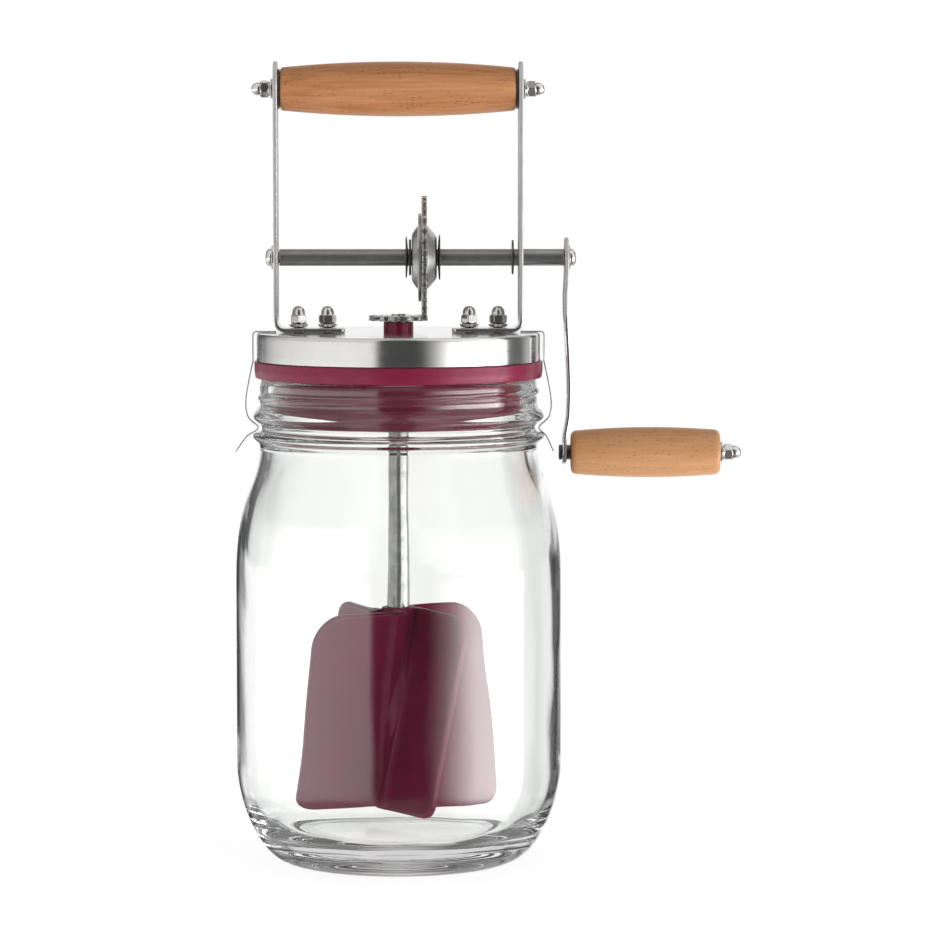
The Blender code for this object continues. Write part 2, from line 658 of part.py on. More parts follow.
def add_foot_fasteners(lid, nut_mesh):
    """Four screws with their heads under the lid, each with a washer and an acorn nut."""
    head_base = LID_TOP - LID_SHEET - SEAT_GAP - BOLT_HEAD
    washer_base = FOOT_TOP + SEAT_GAP
    nut_base = washer_base + WASHER_THICKNESS + SEAT_GAP
    shank_top = nut_base + NUT_BORE_DEPTH - SEAT_GAP - head_base
    outline = [(0, 0), (BOLT_HEAD_RADIUS, 0), (BOLT_HEAD_RADIUS, BOLT_HEAD), (BOLT_RADIUS, BOLT_HEAD)]
    outline += [(BOLT_RADIUS, shank_top), (0, shank_top)]
    places = [side * place for side in (-1, 1) for place in FOOT_BOLT_PLACES]
    for number, place in enumerate(places, 1):
        bolt = turned_mesh(f"foot_bolt_{number}", outline, SMALL_STEPS)
        add_piece(f"foot_bolt_{number}", bolt, "dark steel", lid, (place, 0, head_base))
        add_ring(
            f"foot_washer_{number}", BOLT_RADIUS + HOLE_GAP, WASHER_RADIUS, WASHER_THICKNESS,
            "polished steel", lid, (place, 0, washer_base),
        )
        add_piece(f"foot_nut_{number}", nut_mesh, "polished steel", lid, (place, 0, nut_base))
    return places


def add_brackets(lid, foot_places):
    """Both brackets, drilled for the rod, the axle and the foot screws."""
    below = LID_TOP
    for name, side, axle in (("bracket_left", -1, JOURNAL_RADIUS), ("bracket_right", 1, AXLE_RADIUS)):
        bracket = add_piece(name, bracket_mesh(name, side), "polished steel", lid)
        start = BRACKET_INNER if side > 0 else -BRACKET_OUTER
        for hole, radius, height in (
            ("rod_hole", BOLT_RADIUS + HOLE_GAP, HANDLE_Z),
            ("axle_hole", axle + RUNNING_GAP, AXLE_Z),
        ):
            drill(bracket, f"{name}_{hole}", radius, BAR_THICKNESS, (start, 0, height), ALONG_X)
        for place in foot_places:
            if place * side > 0:
                hole = (place, 0, below)
                drill(bracket, f"{name}_foot_hole", BOLT_RADIUS + HOLE_GAP, BAR_THICKNESS, hole)


def add_handle(lid, nut_mesh):
    """The wooden grip on its rod, between the brackets, with discs, washers and nuts."""
    disc_start = BRACKET_INNER - SEAT_GAP - HANDLE_DISC
    grip_half = disc_start - SEAT_GAP
    outline = barrel_outline(
        2 * grip_half, BOLT_RADIUS + HOLE_GAP, (HANDLE_END_RADIUS, HANDLE_END_RADIUS),
        HANDLE_RADIUS, HANDLE_END_ROUNDING,
    )
    grip = turned_mesh("handle_grip", outline, ROD_STEPS)
    add_piece("handle_grip", grip, "oiled beech", lid, (-grip_half, 0, HANDLE_Z), ALONG_X)

    washer_start = BRACKET_OUTER + SEAT_GAP
    nut_start = washer_start + WASHER_THICKNESS + SEAT_GAP
    rod_half = nut_start + NUT_BORE_DEPTH - SEAT_GAP
    outline = [(0, 0), (BOLT_RADIUS, 0), (BOLT_RADIUS, 2 * rod_half), (0, 2 * rod_half)]
    rod = turned_mesh("handle_rod", outline, SMALL_STEPS)
    add_piece("handle_rod", rod, "dark steel", lid, (-rod_half, 0, HANDLE_Z), ALONG_X)
    for side, word in ((-1, "left"), (1, "right")):
        outward = (0, side * math.pi / 2, 0)
        ring = (BOLT_RADIUS + HOLE_GAP, HANDLE_DISC_RADIUS, HANDLE_DISC, "dark steel", lid)
        add_ring(f"handle_disc_{word}", *ring, (side * disc_start, 0, HANDLE_Z), outward)
        ring = (BOLT_RADIUS + HOLE_GAP, WASHER_RADIUS, WASHER_THICKNESS, "polished steel", lid)
        add_ring(f"handle_washer_{word}", *ring, (side * washer_start, 0, HANDLE_Z), outward)
        place = (side * nut_start, 0, HANDLE_Z)
        add_piece(f"handle_nut_{word}", nut_mesh, "polished steel", lid, place, outward)


# Gears

def gear_mesh(name, teeth, tip_radius, tooth_depth, start_turn):
    """A toothed plate: each tooth tapers to a narrower, slightly rounded tip."""
    root_radius = tip_radius - tooth_depth
    shoulder_radius = tip_radius - tooth_depth / 4
    spacing = math.tau / teeth
    outline = []
    for tooth in range(teeth):
        middle = start_turn + tooth * spacing
        corners = (
            (root_radius, -TOOTH_BASE_SHARE / 2),
            (shoulder_radius, -TOOTH_BASE_SHARE / 2 + (TOOTH_BASE_SHARE - TOOTH_TIP_SHARE) / 4),
            (tip_radius, -TOOTH_TIP_SHARE / 2),
            (tip_radius, TOOTH_TIP_SHARE / 2),
            (shoulder_radius, TOOTH_BASE_SHARE / 2 - (TOOTH_BASE_SHARE - TOOTH_TIP_SHARE) / 4),
            (root_radius, TOOTH_BASE_SHARE / 2),
        )
        for radius, share in corners:
            turn = middle + share * spacing
            outline.append((radius * math.cos(turn), radius * math.sin(turn)))
    return plate_mesh(name, outline, GEAR_THICKNESS)


def add_drive_gear(crank):
    """The gear plate on the axle, with its backing disc, hub dishes, washer and clips."""
    bore = AXLE_RADIUS + THREAD_GAP
    gear_start = PINION_CONTACT_RADIUS - GEAR_THICKNESS / 2
    mesh = gear_mesh("drive_gear", GEAR_TEETH, GEAR_TIP_RADIUS, GEAR_TOOTH_DEPTH, 0)
    gear = add_piece("drive_gear", mesh, "dark steel", crank, (gear_start, 0, 0), ALONG_X)
    drill(gear, "drive_gear_bore", bore, GEAR_THICKNESS, (gear_start, 0, 0), ALONG_X)

    disc_start = gear_start - HUB_GAP - BACKING_DISC
    disc = (bore, BACKING_DISC_RADIUS, BACKING_DISC, "polished steel", crank)
    add_ring("gear_backing_disc", *disc, (disc_start, 0, 0), ALONG_X, ROD_STEPS)

    left_start = disc_start - HUB_GAP - HUB_LEFT_LENGTH
    dish = [(bore, 0), (HUB_LEFT_RADIUS, 0), (HUB_RIM_RADIUS, HUB_LEFT_LENGTH), (bore, HUB_LEFT_LENGTH)]
    mesh = turned_mesh("gear_hub_left", dish, ROD_STEPS)
    add_piece("gear_hub_left", mesh, "polished steel", crank, (left_start, 0, 0), ALONG_X)

    right_start = gear_start + GEAR_THICKNESS + HUB_GAP
    dish = [(bore, 0), (HUB_RIM_RADIUS, 0), (HUB_RIGHT_RADIUS, HUB_RIGHT_LENGTH), (bore, HUB_RIGHT_LENGTH)]
    mesh = turned_mesh("gear_hub_right", dish, ROD_STEPS)
    add_piece("gear_hub_right", mesh, "polished steel", crank, (right_start, 0, 0), ALONG_X)

    washer_start = left_start - HUB_GAP - WASHER_THICKNESS
    washer = (bore, HUB_WASHER_RADIUS, WASHER_THICKNESS, "dark steel", crank)
    add_ring("hub_washer", *washer, (washer_start, 0, 0), ALONG_X)
    clip_start = washer_start - HUB_GAP - CLIP_THICKNESS
    clip = (bore, HUB_CLIP_LEFT_RADIUS, CLIP_THICKNESS, "dark steel", crank)
    add_ring("hub_clip_left", *clip, (clip_start, 0, 0), ALONG_X)
    clip_start = right_start + HUB_RIGHT_LENGTH + HUB_GAP
    clip = (bore, HUB_CLIP_RIGHT_RADIUS, CLIP_THICKNESS, "dark steel", crank)
    add_ring("hub_clip_right", *clip, (clip_start, 0, 0), ALONG_X)


# Crank

def add_axle(crank):
    """The axle with its journals, the caps at both ends and the clip at the right bracket."""
    shoulder = BRACKET_INNER - SHOULDER_GAP
    left_cap = BRACKET_OUTER + SHOULDER_GAP
    left_end = left_cap + CAP_LENGTH - CAP_WALL - SEAT_GAP
    right_shoulder = ARM_INNER - SEAT_GAP
    right_cap = ARM_INNER + ARM_THICKNESS + SEAT_GAP
    right_end = right_cap + CAP_LENGTH - CAP_WALL - SEAT_GAP
    outline = [(0, -left_end), (JOURNAL_RADIUS, -left_end), (JOURNAL_RADIUS, -shoulder)]
    outline += [(AXLE_RADIUS, -shoulder), (AXLE_RADIUS, right_shoulder)]
    outline += [(JOURNAL_RADIUS, right_shoulder), (JOURNAL_RADIUS, right_end), (0, right_end)]
    add_piece("axle", turned_mesh("axle", outline, ROD_STEPS), "dark steel", crank, turn=ALONG_X)
    inward = (0, -math.pi / 2, 0)
    add_piece("axle_cap", cap_mesh("axle_cap"), "polished steel", crank, (-left_cap, 0, 0), inward)
    add_piece("arm_cap", cap_mesh("arm_cap"), "polished steel", crank, (right_cap, 0, 0), ALONG_X)
    clip = (AXLE_RADIUS + THREAD_GAP, AXLE_CLIP_RADIUS, CLIP_THICKNESS, "dark steel", crank)
    add_ring("axle_clip", *clip, (AXLE_CLIP_PLACE, 0, 0), ALONG_X)


def arm_bend(share):
    """How far the arm stands out of its plane, at a share of the way down to the knob."""
    before, bend = 0.0, ARM_BEND_SHARES[0]
    for after, following in zip(ARM_DROP_SHARES, ARM_BEND_SHARES):
        if share < after:
            part = (share - before) / (after - before)
            return ARM_BEND * (bend + (following - bend) * (3 * part**2 - 2 * part**3))
        before, bend = after, following
    return ARM_BEND * bend


def crank_arm_mesh():
    """A flat bar from the axle down to the knob, gently bent, with rounded ends."""
    ends = (80, 60, 40, 20)
    path, half_widths = [], []
    for angle in ends:
        path.append((ARM_PLANE, ARM_AXLE_HALF_WIDTH * math.sin(math.radians(angle))))
        half_widths.append(ARM_AXLE_HALF_WIDTH * math.cos(math.radians(angle)))
    for step in range(ARM_STEPS + 1):
        share = step / ARM_STEPS
        path.append((ARM_PLANE + arm_bend(share), -CRANK_RADIUS * share))
        half_widths.append(ARM_AXLE_HALF_WIDTH + (ARM_KNOB_HALF_WIDTH - ARM_AXLE_HALF_WIDTH) * share)
    for angle in reversed(ends):
        path.append((KNOB_ARM_X, -CRANK_RADIUS - ARM_KNOB_HALF_WIDTH * math.sin(math.radians(angle))))
        half_widths.append(ARM_KNOB_HALF_WIDTH * math.cos(math.radians(angle)))
    return strip_mesh("crank_arm", path, half_widths, ARM_THICKNESS)


def add_crank(crank, knob_axis, nut_mesh):
    """The arm, the bolt at its end, and the knob that turns on the bolt."""
    arm = add_piece("crank_arm", crank_arm_mesh(), "polished steel", crank)
    drill(arm, "arm_axle_hole", JOURNAL_RADIUS + THREAD_GAP, ARM_THICKNESS, (ARM_INNER, 0, 0), ALONG_X)
    head_start = KNOB_ARM_X - ARM_THICKNESS / 2 - SEAT_GAP - KNOB_BOLT_HEAD
    hole = (KNOB_ARM_X - ARM_THICKNESS / 2, 0, -CRANK_RADIUS)
    drill(arm, "arm_knob_hole", KNOB_BOLT_RADIUS + HOLE_GAP, ARM_THICKNESS, hole, ALONG_X)

    neck = KNOB_END - SEAT_GAP - head_start
    tip = KNOB_NUT_START + NUT_BORE_DEPTH - SEAT_GAP - head_start
    outline = [(0, 0), (KNOB_BOLT_HEAD_RADIUS, 0), (KNOB_BOLT_HEAD_RADIUS, KNOB_BOLT_HEAD)]
    outline += [(KNOB_BOLT_RADIUS, KNOB_BOLT_HEAD), (KNOB_BOLT_RADIUS, neck), (BOLT_RADIUS, neck)]
    outline += [(BOLT_RADIUS, tip), (0, tip)]
    bolt = turned_mesh("knob_bolt", outline, SMALL_STEPS)
    add_piece("knob_bolt", bolt, "dark steel", crank, (head_start, 0, -CRANK_RADIUS), ALONG_X)

    spacer = (KNOB_BOLT_RADIUS + HOLE_GAP, KNOB_SPACER_RADIUS, KNOB_SPACER_LENGTH, "dark steel", crank)
    add_ring("knob_spacer", *spacer, (KNOB_ARM_OUTER, 0, -CRANK_RADIUS), ALONG_X)
    washer = (BOLT_RADIUS + HOLE_GAP, WASHER_RADIUS, WASHER_THICKNESS, "polished steel", crank)
    add_ring("knob_washer", *washer, (KNOB_END + SEAT_GAP, 0, -CRANK_RADIUS), ALONG_X)
    nut_place = (KNOB_NUT_START, 0, -CRANK_RADIUS)
    add_piece("knob_nut", nut_mesh, "polished steel", crank, nut_place, ALONG_X)

    outline = barrel_outline(
        KNOB_LENGTH, KNOB_BOLT_RADIUS + RUNNING_GAP, (KNOB_INNER_RADIUS, KNOB_OUTER_RADIUS),
        KNOB_RADIUS, KNOB_ROUNDING,
    )
    knob = turned_mesh("crank_knob", outline, ROD_STEPS)
    add_piece("crank_knob", knob, "oiled beech", knob_axis, (KNOB_START, 0, 0), ALONG_X)


# Dasher

def blade_outline():
    """A blade seen flat: distance from the shaft's axis, and height about its middle."""
    low, high = -PADDLE_HEIGHT / 2, PADDLE_HEIGHT / 2
    bottom = (PADDLE_RADIUS - BLADE_BOTTOM_ROUNDING, low + BLADE_BOTTOM_ROUNDING)
    top = (PADDLE_RADIUS - BLADE_TOP_ROUNDING, high - BLADE_TOP_ROUNDING)
    outline = [(0, low)]
    outline += arc(bottom, (BLADE_BOTTOM_ROUNDING, BLADE_BOTTOM_ROUNDING), -90, 0, 5)
    outline += arc(top, (BLADE_TOP_ROUNDING, BLADE_TOP_ROUNDING), 0, 90, 6)
    return outline + [(0, high)]


def add_paddle(dasher):
    """A hub with a socket for the shaft and four blades, each pitched about its own radius."""
    middle = PADDLE_BOTTOM + PADDLE_HEIGHT / 2
    top = PADDLE_BOTTOM + PADDLE_HEIGHT
    outline = [(0, PADDLE_BOTTOM), (PADDLE_HUB_RADIUS, PADDLE_BOTTOM), (PADDLE_HUB_RADIUS, top), (0, top)]
    hub = turned_mesh("paddle", outline, ROD_STEPS)
    paddle = add_piece("paddle", hub, "maroon plastic", dasher)
    blade = plate_mesh("blade", blade_outline(), BLADE_THICKNESS)
    upright = Matrix.Rotation(math.pi / 2, 4, "X") @ Matrix.Translation((0, 0, -BLADE_THICKNESS / 2))
    blade.transform(Matrix.Rotation(-BLADE_PITCH, 4, "X") @ upright)
    for number in range(BLADE_COUNT):
        turn = (0, 0, PADDLE_TURN + math.tau * number / BLADE_COUNT)
        combine(paddle, add_tool(f"blade_{number + 1}", blade, dasher, (0, 0, middle), turn), "UNION")
    socket = PADDLE_BOTTOM + PADDLE_SOCKET_FLOOR
    depth = PADDLE_HEIGHT - PADDLE_SOCKET_FLOOR + CUT_OVERRUN
    bore = SHAFT_RADIUS + HOLE_GAP
    cutter = turned_mesh("paddle_socket", [(0, 0), (bore, 0), (bore, depth), (0, depth)], ROD_STEPS)
    combine(paddle, add_tool("paddle_socket", cutter, dasher, (0, 0, socket)), "DIFFERENCE")


def add_dasher(dasher):
    """The shaft, the pinion on its top, the circlip under the bush, and the paddle."""
    foot = PADDLE_BOTTOM + PADDLE_SOCKET_FLOOR + SEAT_GAP
    shoulder = PINION_BASE - SEAT_GAP
    tip = PINION_TOP + SHAFT_SPIGOT_HEAD
    outline = [(0, foot), (SHAFT_RADIUS, foot), (SHAFT_RADIUS, shoulder)]
    outline += [(SHAFT_SPIGOT_RADIUS, shoulder), (SHAFT_SPIGOT_RADIUS, tip), (0, tip)]
    shaft = turned_mesh("dasher_shaft", outline, ROD_STEPS)
    add_piece("dasher_shaft", shaft, "polished steel", dasher)

    half_space = math.pi / PINION_TEETH
    tip_radius = PINION_CONTACT_RADIUS + PINION_ADDENDUM
    mesh = gear_mesh("pinion", PINION_TEETH, tip_radius, PINION_TOOTH_DEPTH, half_space)
    pinion = add_piece("pinion", mesh, "dark steel", dasher, (0, 0, PINION_BASE))
    drill(pinion, "pinion_bore", SHAFT_SPIGOT_RADIUS + THREAD_GAP, GEAR_THICKNESS, (0, 0, PINION_BASE))

    ring = (SHAFT_RADIUS + THREAD_GAP, CIRCLIP_RADIUS, CIRCLIP_THICKNESS, "dark steel", dasher)
    add_ring("shaft_circlip", *ring, (0, 0, BUSH_BASE - RIM_GAP - CIRCLIP_THICKNESS))
    add_paddle(dasher)


def main():
    clear_scene()
    churn = add_empty("churn", None, (CHURN_SHIFT, 0, 0))
    lid = add_empty("lid_assembly", churn, (0, 0, 0))
    crank = add_empty("crank_axis", lid, (0, 0, AXLE_Z))
    knob_axis = add_empty("knob_axis", crank, (0, 0, -CRANK_RADIUS))
    dasher = add_empty("dasher_axis", lid, (0, 0, 0))

    add_piece("glass_jar", jar_mesh(), "clear glass", churn)
    cap = add_piece("lid_cap", lid_cap_mesh(), "polished steel", lid, (0, 0, LID_BASE))
    under_sheet = LID_TOP - LID_SHEET
    drill(cap, "lid_bush_hole", BUSH_RADIUS + HOLE_GAP, LID_SHEET, (0, 0, under_sheet))
    add_piece("seal_ring", seal_mesh(), "maroon rubber", lid, (0, 0, SEAL_BASE))
    add_piece("lid_plug", plug_mesh(), "maroon plastic", lid)
    add_piece("lid_bush", bush_mesh(), "maroon plastic", lid)
    for name, side, flare in (
        ("spring_clip_left", -1, CLIP_TAIL_FLARE_LEFT),
        ("spring_clip_right", 1, CLIP_TAIL_FLARE_RIGHT),
    ):
        add_piece(name, clip_mesh(name, side, flare), "spring steel", lid)

    nut = acorn_nut_mesh(churn)
    foot_places = add_foot_fasteners(lid, nut)
    for number, place in enumerate(foot_places, 1):
        hole = (place, 0, under_sheet)
        drill(cap, f"lid_screw_hole_{number}", BOLT_RADIUS + HOLE_GAP, LID_SHEET, hole)
    add_brackets(lid, foot_places)
    add_handle(lid, nut)
    add_axle(crank)
    add_drive_gear(crank)
    add_crank(crank, knob_axis, nut)
    add_dasher(dasher)


main()
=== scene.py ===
"""The finished look of a hand-cranked butter churn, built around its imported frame.

Shapes are laid out in millimetres from the jar's axis and the table that the jar stands on, and
turned to metres when a mesh is finished.
"""
import math
from bisect import bisect_right

import bmesh
import bpy
from mathutils import Matrix, Vector


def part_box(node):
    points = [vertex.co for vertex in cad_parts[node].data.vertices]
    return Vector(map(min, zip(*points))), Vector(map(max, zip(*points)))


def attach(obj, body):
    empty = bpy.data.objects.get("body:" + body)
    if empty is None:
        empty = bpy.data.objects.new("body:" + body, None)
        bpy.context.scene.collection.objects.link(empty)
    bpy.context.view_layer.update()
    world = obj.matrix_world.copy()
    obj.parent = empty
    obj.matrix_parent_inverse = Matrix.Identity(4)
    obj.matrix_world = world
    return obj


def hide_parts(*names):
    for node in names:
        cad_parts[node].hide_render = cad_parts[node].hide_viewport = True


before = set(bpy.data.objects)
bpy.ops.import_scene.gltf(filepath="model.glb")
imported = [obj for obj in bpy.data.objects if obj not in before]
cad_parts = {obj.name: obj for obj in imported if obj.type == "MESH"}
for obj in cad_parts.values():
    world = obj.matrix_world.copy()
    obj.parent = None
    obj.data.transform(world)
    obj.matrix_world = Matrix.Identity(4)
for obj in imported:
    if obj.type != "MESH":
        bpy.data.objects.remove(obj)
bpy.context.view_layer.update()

MM = 0.001
# Points that are closer than this, in millimetres, are one.
MERGE = 0.0005
SHARP_ANGLE = math.radians(32)
EASE_STEPS = 4

jar_low, jar_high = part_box("glass_jar")
AXIS_X = (jar_low.x + jar_high.x) / 2
TO_FRAME = Matrix.Translation((AXIS_X, 0, 0)) @ Matrix.Scale(MM, 4)
# The place of a model that stays in millimetres, for a tree to set.
IN_MILLIMETRES = TO_FRAME.inverted()

# Places and sizes on the churn, in millimetres
JAR_RADIUS = 57.7
FOOT_RADIUS = 41.5
FOOT_INNER_RADIUS = 38.5
HEEL_TOP = 33.0
NECK_RADIUS = 49.0
GLASS_WALL = 3.8
FLOOR_INNER_RADIUS = 32.0
FLOOR_TOP = 8.5
RIM_Z = 170.7
SEAL_Z = 171.0
LID_Z = 176.95
LID_TOP = 186.9
HANDLE_Z = 272.35
AXLE_Z = 213.25
KNOB_Z = 144.25
BAR_X = 43.1
BAR_THICK = 1.5
BAR_HALF_WIDTH = 8.0
ARM_X = 59.3
ARM_THICK = 1.4
LID_RADIUS = 50.1
LID_SHEET = 0.7
BUSH_HOLE = 5.5
AXLE_RADIUS = 3.0
AXLE_BORE = 3.1
AXLE_JOURNAL = 2.0
JOURNAL_HOLE = 2.1
SCREW_HOLE = 1.7
SHAFT_RADIUS = 3.75
SHAFT_BORE = 3.85
SHAFT_TOP = 190.84
PINION_Z = 190.99
PINION_BORE = 2.6
PADDLE_Z = 53.75
PADDLE_HALF_HEIGHT = 35.75


# Geometry helpers

def at_height(z):
    return Matrix.Translation((0, 0, z))


def along_x(x, z, outward=1):
    """Lays a turned shape's axis along X, starting at a place in the plane of the handle."""
    return Matrix.Translation((x, 0, z)) @ Matrix.Rotation(outward * math.pi / 2, 4, "Y")


def meshed(name, shape):
    """A shape as a mesh of its own, closed and with its faces outwards."""
    bmesh.ops.remove_doubles(shape, verts=shape.verts, dist=MERGE)
    bmesh.ops.recalc_face_normals(shape, faces=shape.faces)
    mesh = bpy.data.meshes.new(name)
    shape.to_mesh(mesh)
    shape.free()
    return mesh


def smoothed(mesh, place=Matrix()):
    """Moves a mesh from millimetres to its place in the frame and shades it."""
    mesh.transform(TO_FRAME @ place)
    mesh.shade_smooth()
    mesh.set_sharp_from_angle(angle=SHARP_ANGLE)
    return mesh


def sided(name, shape, side):
    """A shape of the right side in its place, or its mirror image on the left."""
    mesh = smoothed(meshed(name, shape), Matrix.Scale(side, 4, (1, 0, 0)))
    if side < 0:
        mesh.flip_normals()
    return mesh


def placed(name, data):
    """A new object in the scene."""
    made = bpy.data.objects.new(name, data)
    bpy.context.scene.collection.objects.link(made)
    return made


def settle(name, mesh, finish, body, *nodes):
    """Puts a finished piece on its body, in place of the plain solids that it stands for."""
    mesh.name = name
    piece = placed(name, mesh)
    mesh.materials.clear()
    mesh.materials.append(finish)
    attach(piece, body)
    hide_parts(*nodes)


def turned(name, outline, steps, place, finish, body, solid):
    """Settles a piece that is turned about its own axis."""
    settle(name, smoothed(meshed(name, lathe(outline, steps)), place), finish, body, solid)


def eased(outline):
    """Rounds the corners of an outline: a corner's third number is its radius."""
    points = []
    for index, corner in enumerate(outline):
        here = Vector(corner[:2])
        if len(corner) < 3:
            points.append(here)
            continue
        back = Vector(outline[index - 1][:2]) - here
        ahead = Vector(outline[(index + 1) % len(outline)][:2]) - here
        radius = min(corner[2], 0.42 * back.length, 0.42 * ahead.length)
        back.normalize()
        ahead.normalize()
        points.append(here + back * radius * 1.18)
        for step in range(EASE_STEPS + 1):
            t = step / EASE_STEPS
            points.append(here + back * radius * (1 - t) ** 2 + ahead * radius * t**2)
        points.append(here + ahead * radius * 1.18)
    return [(point.x, point.y) for point in points]


def lathe(outline, steps):
    """Spins an outline of (radius, height) points about Z."""
    shape = bmesh.new()
    corners = [shape.verts.new((radius, 0, height)) for radius, height in outline]
    ends = list(zip(corners, corners[1:]))
    if outline[0][0] or outline[-1][0]:
        ends.append((corners[-1], corners[0]))
    edges = [shape.edges.new(pair) for pair in ends]
    bmesh.ops.spin(
        shape, geom=corners + edges, cent=(0, 0, 0), axis=(0, 0, 1),
        angle=math.tau, steps=steps, use_merge=True,
    )
    return shape


def ring(inner, outer, length, ease):
    """The outline of a flat ring with eased edges."""
    return eased([(inner, 0, ease), (outer, 0, ease), (outer, length, ease), (inner, length, ease)])


def arc(centre, radii, start, end, steps):
    """Points along an elliptical arc, with its angles in degrees."""
    points = []
    for step in range(steps + 1):
        angle = math.radians(start + (end - start) * step / steps)
        points.append((
            centre[0] + radii[0] * math.cos(angle),
            centre[1] + radii[1] * math.sin(angle),
        ))
    return points


def inset_loop(loop, distance):
    """Moves a closed loop of points to its left, which is into the plate."""
    corners = [Vector(point) for point in loop]
    moved = []
    for index, here in enumerate(corners):
        before = (here - corners[index - 1]).normalized()
        after = (corners[(index + 1) % len(corners)] - here).normalized()
        left = Vector((-before.y - after.y, before.x + after.x)).normalized()
        lean = max(0.4, left.dot(Vector((-before.y, before.x))))
        moved.append(here + left * distance / lean)
    return moved


def plate(loops, thickness, ease):
    """A flat plate with eased edges: its outline runs anticlockwise and its holes clockwise."""
    shape = bmesh.new()
    half = thickness / 2
    layers = [(-half, 2.5 * ease)]
    for step in range(EASE_STEPS + 1):
        turn = math.pi / 2 * step / EASE_STEPS
        layers.append((-half + ease * (1 - math.cos(turn)), ease * (1 - math.sin(turn))))
    layers += [(-height, inset) for height, inset in reversed(layers)]
    rims = []
    for loop in loops:
        rings = [
            [shape.verts.new((*point, height)) for point in inset_loop(loop, inset)]
            for height, inset in layers
        ]
        for low, high in zip(rings, rings[1:]):
            for corner in range(len(low)):
                beside = (corner + 1) % len(low)
                shape.faces.new((low[corner], low[beside], high[beside], high[corner]))
        rims.append((rings[0], rings[-1]))
    for side in (0, 1):
        edges = []
        for rim in rims:
            points = rim[side]
            edges += [shape.edges.get((points[i - 1], points[i])) for i in range(len(points))]
        bmesh.ops.triangle_fill(shape, edges=edges, use_beauty=True, normal=(0, 0, 1))
    return shape


def hole(x, radius, steps=32):
    """A clockwise loop for a hole on a bar's middle line."""
    return list(reversed(arc((x, 0), (radius, radius), 0, 360, steps)[:-1]))


def cut_across(shape, x):
    """Adds a row of edges across a shape where it passes a place along X."""
    parts = shape.verts[:] + shape.edges[:] + shape.faces[:]
    bmesh.ops.bisect_plane(shape, geom=parts, dist=MERGE, plane_co=(x, 0, 0), plane_no=(1, 0, 0))


def bent(shape, path):
    """Bends a plate's length, its own X, along a path of (x, z) points."""
    knots = [Vector(point) for point in path]
    lengths = [0.0]
    for start, end in zip(knots, knots[1:]):
        lengths.append(lengths[-1] + (end - start).length)
    last = len(knots) - 1
    ways = [(knots[min(i + 1, last)] - knots[max(i - 1, 0)]).normalized() for i in range(last + 1)]
    for length in lengths[1:-1]:
        cut_across(shape, length)
    for point in shape.verts:
        length = min(max(point.co.x, 0.0), lengths[-1])
        index = min(max(bisect_right(lengths, length) - 1, 0), last - 1)
        share = (length - lengths[index]) / (lengths[index + 1] - lengths[index])
        middle = knots[index].lerp(knots[index + 1], share)
        way = ways[index].lerp(ways[index + 1], share).normalized()
        out = point.co.z
        point.co = (middle.x + way.y * out, point.co.y, middle.y - way.x * out)
    return shape


def smooth_through(points, steps):
    """A smooth curve through 2D points, with so many steps between each pair."""
    knots = [Vector(point) for point in points]
    knots = [2 * knots[0] - knots[1]] + knots + [2 * knots[-1] - knots[-2]]
    curve = []
    for before, start, end, after in zip(knots, knots[1:], knots[2:], knots[3:]):
        for step in range(steps):
            t = step / steps
            pull_in = (end - before) / 2
            pull_out = (after - start) / 2
            curve.append(
                start * (2 * t**3 - 3 * t**2 + 1) + end * (3 * t**2 - 2 * t**3)
                + pull_in * (t**3 - 2 * t**2 + t) + pull_out * (t**3 - t**2)
            )
    curve.append(knots[-2])
    return [(point.x, point.y) for point in curve]


# Node helpers

def linear(code):
    """An sRGB hex colour as linear red, green, blue and alpha."""
    channels = [int(code[start:start + 2], 16) / 255 for start in (1, 3, 5)]
    steps = [c / 12.92 if c <= 0.04045 else ((c + 0.055) / 1.055) ** 2.4 for c in channels]
    return (*steps, 1.0)


def feed(tree, value, socket):
    """Sets a socket, or links it to a socket, to a node's first open output or to each of a list."""
    if isinstance(value, bpy.types.Node):
        value = next(output for output in value.outputs if output.enabled)
    if isinstance(value, list):
        for each in value:
            feed(tree, each, socket)
    elif isinstance(value, bpy.types.NodeSocket):
        tree.links.new(value, socket)
    else:
        socket.default_value = value


def node(tree, kind, sockets=None, **settings):
    """Adds a node with its settings, and sets or links its sockets."""
    made = tree.nodes.new(kind)
    for key, value in settings.items():
        setattr(made, key, value)
    for key, value in (sockets or {}).items():
        feed(tree, value, made.inputs[key])
    return made


def spacing(millimetres):
    """The scale of a pattern whose grain is so many millimetres across."""
    return 1 / (millimetres * MM)


def new_finish(name, plain):
    """A material whose Principled shader has these plain values, with its tree and coordinates."""
    made = bpy.data.materials.new(name)
    made.use_nodes = True
    tree = made.node_tree
    shader = tree.nodes["Principled BSDF"]
    for socket, value in plain.items():
        shader.inputs[socket].default_value = value
    return made, tree, shader, node(tree, "ShaderNodeTexCoord").outputs["Object"]


def rounds_of(tree, place, centre, axis):
    """Distance from a turning axis, place along it, and a little of the way round it."""
    centred = node(tree, "ShaderNodeMapping", {0: place, 1: tuple(-value for value in centre)})
    split = node(tree, "ShaderNodeSeparateXYZ", {0: centred}).outputs
    across, upward, along = (0, 1, 2) if axis == "Z" else (1, 2, 0)
    flat = node(tree, "ShaderNodeCombineXYZ", {0: split[across], 1: split[upward]})
    distance = node(tree, "ShaderNodeVectorMath", {0: flat}, operation="LENGTH")
    leak = node(tree, "ShaderNodeMath", {0: split[across], 1: 0.02}, operation="MULTIPLY")
    return node(tree, "ShaderNodeCombineXYZ", {0: distance, 1: split[along], 2: leak})


